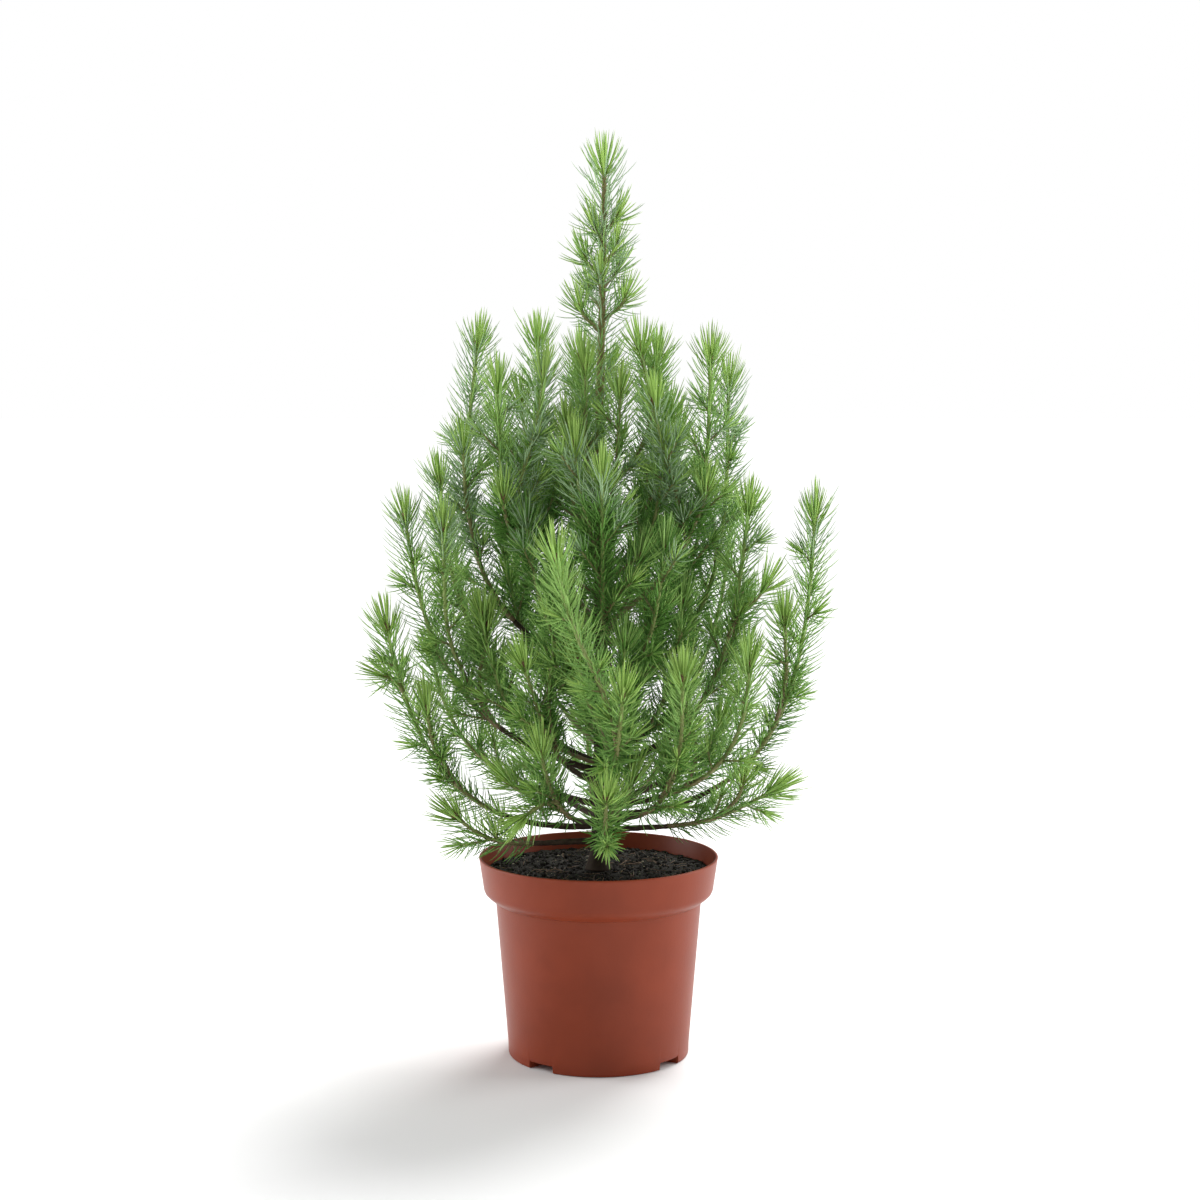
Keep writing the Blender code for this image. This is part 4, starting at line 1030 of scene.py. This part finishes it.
def needle_mesh(roots, way, ahead, long, wide):
    """Arched needles: the middle line is the root plus the length times s along the first
    direction, plus half the arch times the length times s squared along the axis of the shoot
    minus the first direction. Each of the four rings is a triangle, and a point closes them."""
    s = np.array(NEEDLE_RINGS)[:, None]
    pull = ARCH * (ahead - way)
    point = roots + long[:, None] * (way + 0.5 * pull)
    way, pull = way[:, None], pull[:, None]
    line = roots[:, None] + long[:, None, None] * (way * s + 0.5 * pull * s ** 2)
    run = unit(way + pull * s)
    side = unit(np.cross(run, ahead[:, None]) + 1e-5)
    up = np.cross(run, side)
    half = 0.5 * wide[:, None, None] * np.array(RING_WIDTHS)[:, None]
    corners = np.stack([line + side * half, line + up * half, line - side * half], axis=2)
    count = len(roots)
    verts = np.concatenate([corners.reshape(count, 12, 3), point[:, None]], axis=1)
    k = np.arange(3)
    ends = np.concatenate([joined(9 + k, 9 + (k + 1) % 3, 12), [[2, 1, 0]]])
    start = (np.arange(count) * 13)[:, None, None]
    faces = [(ring_faces(4, 3) + start).reshape(-1, 4), (ends + start).reshape(-1, 3)]
    return verts.reshape(-1, 3), faces


def has_room(roots, way, ahead, long, boughs):
    """Whether a needle keeps off the trunk and the boughs, out of the peat and the pot's
    wall, and out from under the rim."""
    heights = np.linspace(TRUNK_FOOT, LEADER_FOOT, 90)
    woody = np.concatenate([trunk_middle(heights)] + [b[::3] for b in boughs])
    thick = np.append(trunk_radius(heights), np.full(len(woody) - len(heights), BOUGH_RADIUS))
    room = np.ones(len(roots), dtype=bool)
    for s in (0.35, 0.7, 1.0):
        point = roots + long[:, None] * (way * s + ARCH / 2 * (ahead - way) * s * s)
        reach = np.hypot(point[:, 0], point[:, 1])
        over = point[:, 2] > POT_HEIGHT + RIM_ROOM
        beside = reach > RIM_RADIUS + RIM_ROOM
        above_peat = point[:, 2] > SOIL_TOP + PEAT_ROOM
        hollow = (reach < BAND_RADIUS - WALL - WOOD_ROOM) & above_peat
        room &= over | beside | hollow
        for block in np.array_split(np.arange(len(roots)), 40):
            far = np.linalg.norm(point[block, None] - woody[None], axis=-1) - thick[None]
            room[block] &= far.min(axis=1) > WOOD_ROOM
    return room


class PINE_OT_needles(bpy.types.Operator):
    """Make the needles, each colour as a piece of its own"""

    bl_idname = "pine.needles"
    bl_label = "Needles"

    def execute(self, context):
        sizes, colours = context.scene.pine_sizes, context.scene.pine_colours
        boughs, shoots = grow_shoots(sizes)
        heights = np.linspace(LEADER_FOOT, LEADER_TIP, 160)
        leader = Shoot(trunk_middle(heights), 0, sizes.needle_long * LEADER_NEEDLES, TIP_RADIUS)
        shoots = shoots + grow_sprigs(shoots, boughs, sizes) + [leader]
        roots, way, ahead, long, group = needle_rule(shoots, sizes)
        room = has_room(roots, way, ahead, long, boughs)
        rng = np.random.default_rng(3)
        wide = sizes.needle_wide * rng.uniform(0.85, 1.15, len(roots))
        for number, name in enumerate(NEEDLE_GROUPS):
            colour = getattr(colours, name)
            made = finish(f"needle_{name}", colour, shade(colour, NEEDLE_SHADE), "needle")
            pick = np.flatnonzero(room & (group == number))
            parts = max(math.ceil(len(pick) * NEEDLE_TRIANGLES / MOST_TRIANGLES), 1)
            for part, some in enumerate(np.array_split(pick, parts)):
                verts, faces = needle_mesh(*(a[some] for a in (roots, way, ahead, long, wide)))
                piece(f"needles_{name}_{part}", verts, faces, made, MASSES)
        return {"FINISHED"}


class PINE_OT_stage(bpy.types.Operator):
    """Set up the floor, the lights and the camera"""

    bl_idname = "pine.stage"
    bl_label = "Floor, lights and camera"

    def execute(self, context):
        scene = context.scene
        stage = scene.pine_stage
        mesh = bpy.data.meshes.new("floor")
        half = 20
        mesh.from_pydata([(-half, -half, 0), (half, -half, 0), (half, half, 0),
                          (-half, half, 0)], [], [(0, 1, 2, 3)])
        paper = bpy.data.materials.new("floor_paper")
        paper.use_nodes = True
        fill(paper.node_tree.nodes["Principled BSDF"], Base_Color=(*stage.floor, 1),
             Roughness=0.9, Specular_IOR_Level=0.0)
        mesh.materials.append(paper)
        floor = put("floor", mesh)
        self.room(scene, stage.room)
        sun = self.light("overhead", "SUN", OVERHEAD_PLACE, stage.sun)
        sun.data.angle = math.radians(34)
        aside, *place = SIDE_PLACE
        for name, x in (("side_left", -aside), ("side_right", aside)):
            lamp = self.light(name, "AREA", (x, *place), stage.sides)
            lamp.data.shape = "RECTANGLE"
            lamp.data.size, lamp.data.size_y = 0.7, 1.3
        data = bpy.data.cameras.new("camera")
        data.sensor_width = 36
        data.lens = stage.lens
        data.clip_start, data.clip_end = 0.01, 100
        camera = put("camera", data)
        camera.location = CAMERA_PLACE
        camera.rotation_euler = (math.radians(90 - CAMERA_PITCH), 0, 0)
        scene.camera = camera
        scene.view_settings.view_transform = "Standard"
        return {"FINISHED"}

    def room(self, scene, strength):
        """World that looks white and lights the object from all round."""
        world = bpy.data.worlds.new("room")
        world.use_nodes = True
        tree = world.node_tree
        tree.nodes.clear()
        white = (1, 1, 1, 1)
        seen = add(tree, "ShaderNodeBackground", Color=white, Strength=1.0)
        lit = add(tree, "ShaderNodeBackground", Color=white, Strength=strength)
        ray = add(tree, "ShaderNodeLightPath")
        mix = add(tree, "ShaderNodeMixShader")
        result = add(tree, "ShaderNodeOutputWorld")
        link(tree, (ray, "Is Camera Ray", mix, "Fac"), (lit, "Background", mix, 1),
             (seen, "Background", mix, 2), (mix, "Shader", result, "Surface"))
        scene.world = world

    def light(self, name, kind, place, power):
        """Light at a place, turned towards the middle of the plant."""
        data = bpy.data.lights.new(name, kind)
        data.energy = power
        made = put(name, data)
        made.location = place
        aim = UP * AIM_HEIGHT - place
        level = math.hypot(aim[0], aim[1])
        made.rotation_euler = (math.atan2(level, -aim[2]), 0, math.atan2(-aim[0], aim[1]))
        return made


class PINE_PT_panel(bpy.types.Panel):
    """The pine's pieces, in the order in which they are made"""

    bl_idname = "PINE_PT_panel"
    bl_label = "Potted stone pine"
    bl_space_type = "VIEW_3D"
    bl_region_type = "UI"
    bl_category = "Pine"

    def draw(self, context):
        for operator in OPERATORS:
            self.layout.operator(operator.bl_idname)
        for setting in SETTINGS:
            group, box = getattr(context.scene, setting), self.layout.box()
            for name in group.__annotations__:
                box.prop(group, name)


OPERATORS = (PINE_OT_pot, PINE_OT_peat, PINE_OT_bark, PINE_OT_twigs, PINE_OT_needles,
             PINE_OT_stage)
SETTINGS = {"pine_sizes": PineSizes, "pine_colours": PineColours, "pine_stage": PineStage}
CLASSES = (*SETTINGS.values(), *OPERATORS, PINE_PT_panel)


def register():
    for cls in CLASSES:
        bpy.utils.register_class(cls)
    for name, group in SETTINGS.items():
        setattr(bpy.types.Scene, name, PointerProperty(type=group))


def unregister():
    for name in SETTINGS:
        delattr(bpy.types.Scene, name)
    for cls in reversed(CLASSES):
        bpy.utils.unregister_class(cls)


def main():
    register()
    bpy.ops.pine.pot()
    bpy.ops.pine.peat()
    bpy.ops.pine.bark()
    bpy.ops.pine.twigs()
    bpy.ops.pine.needles()
    bpy.ops.pine.stage()


if __name__ == "__main__":
    main()
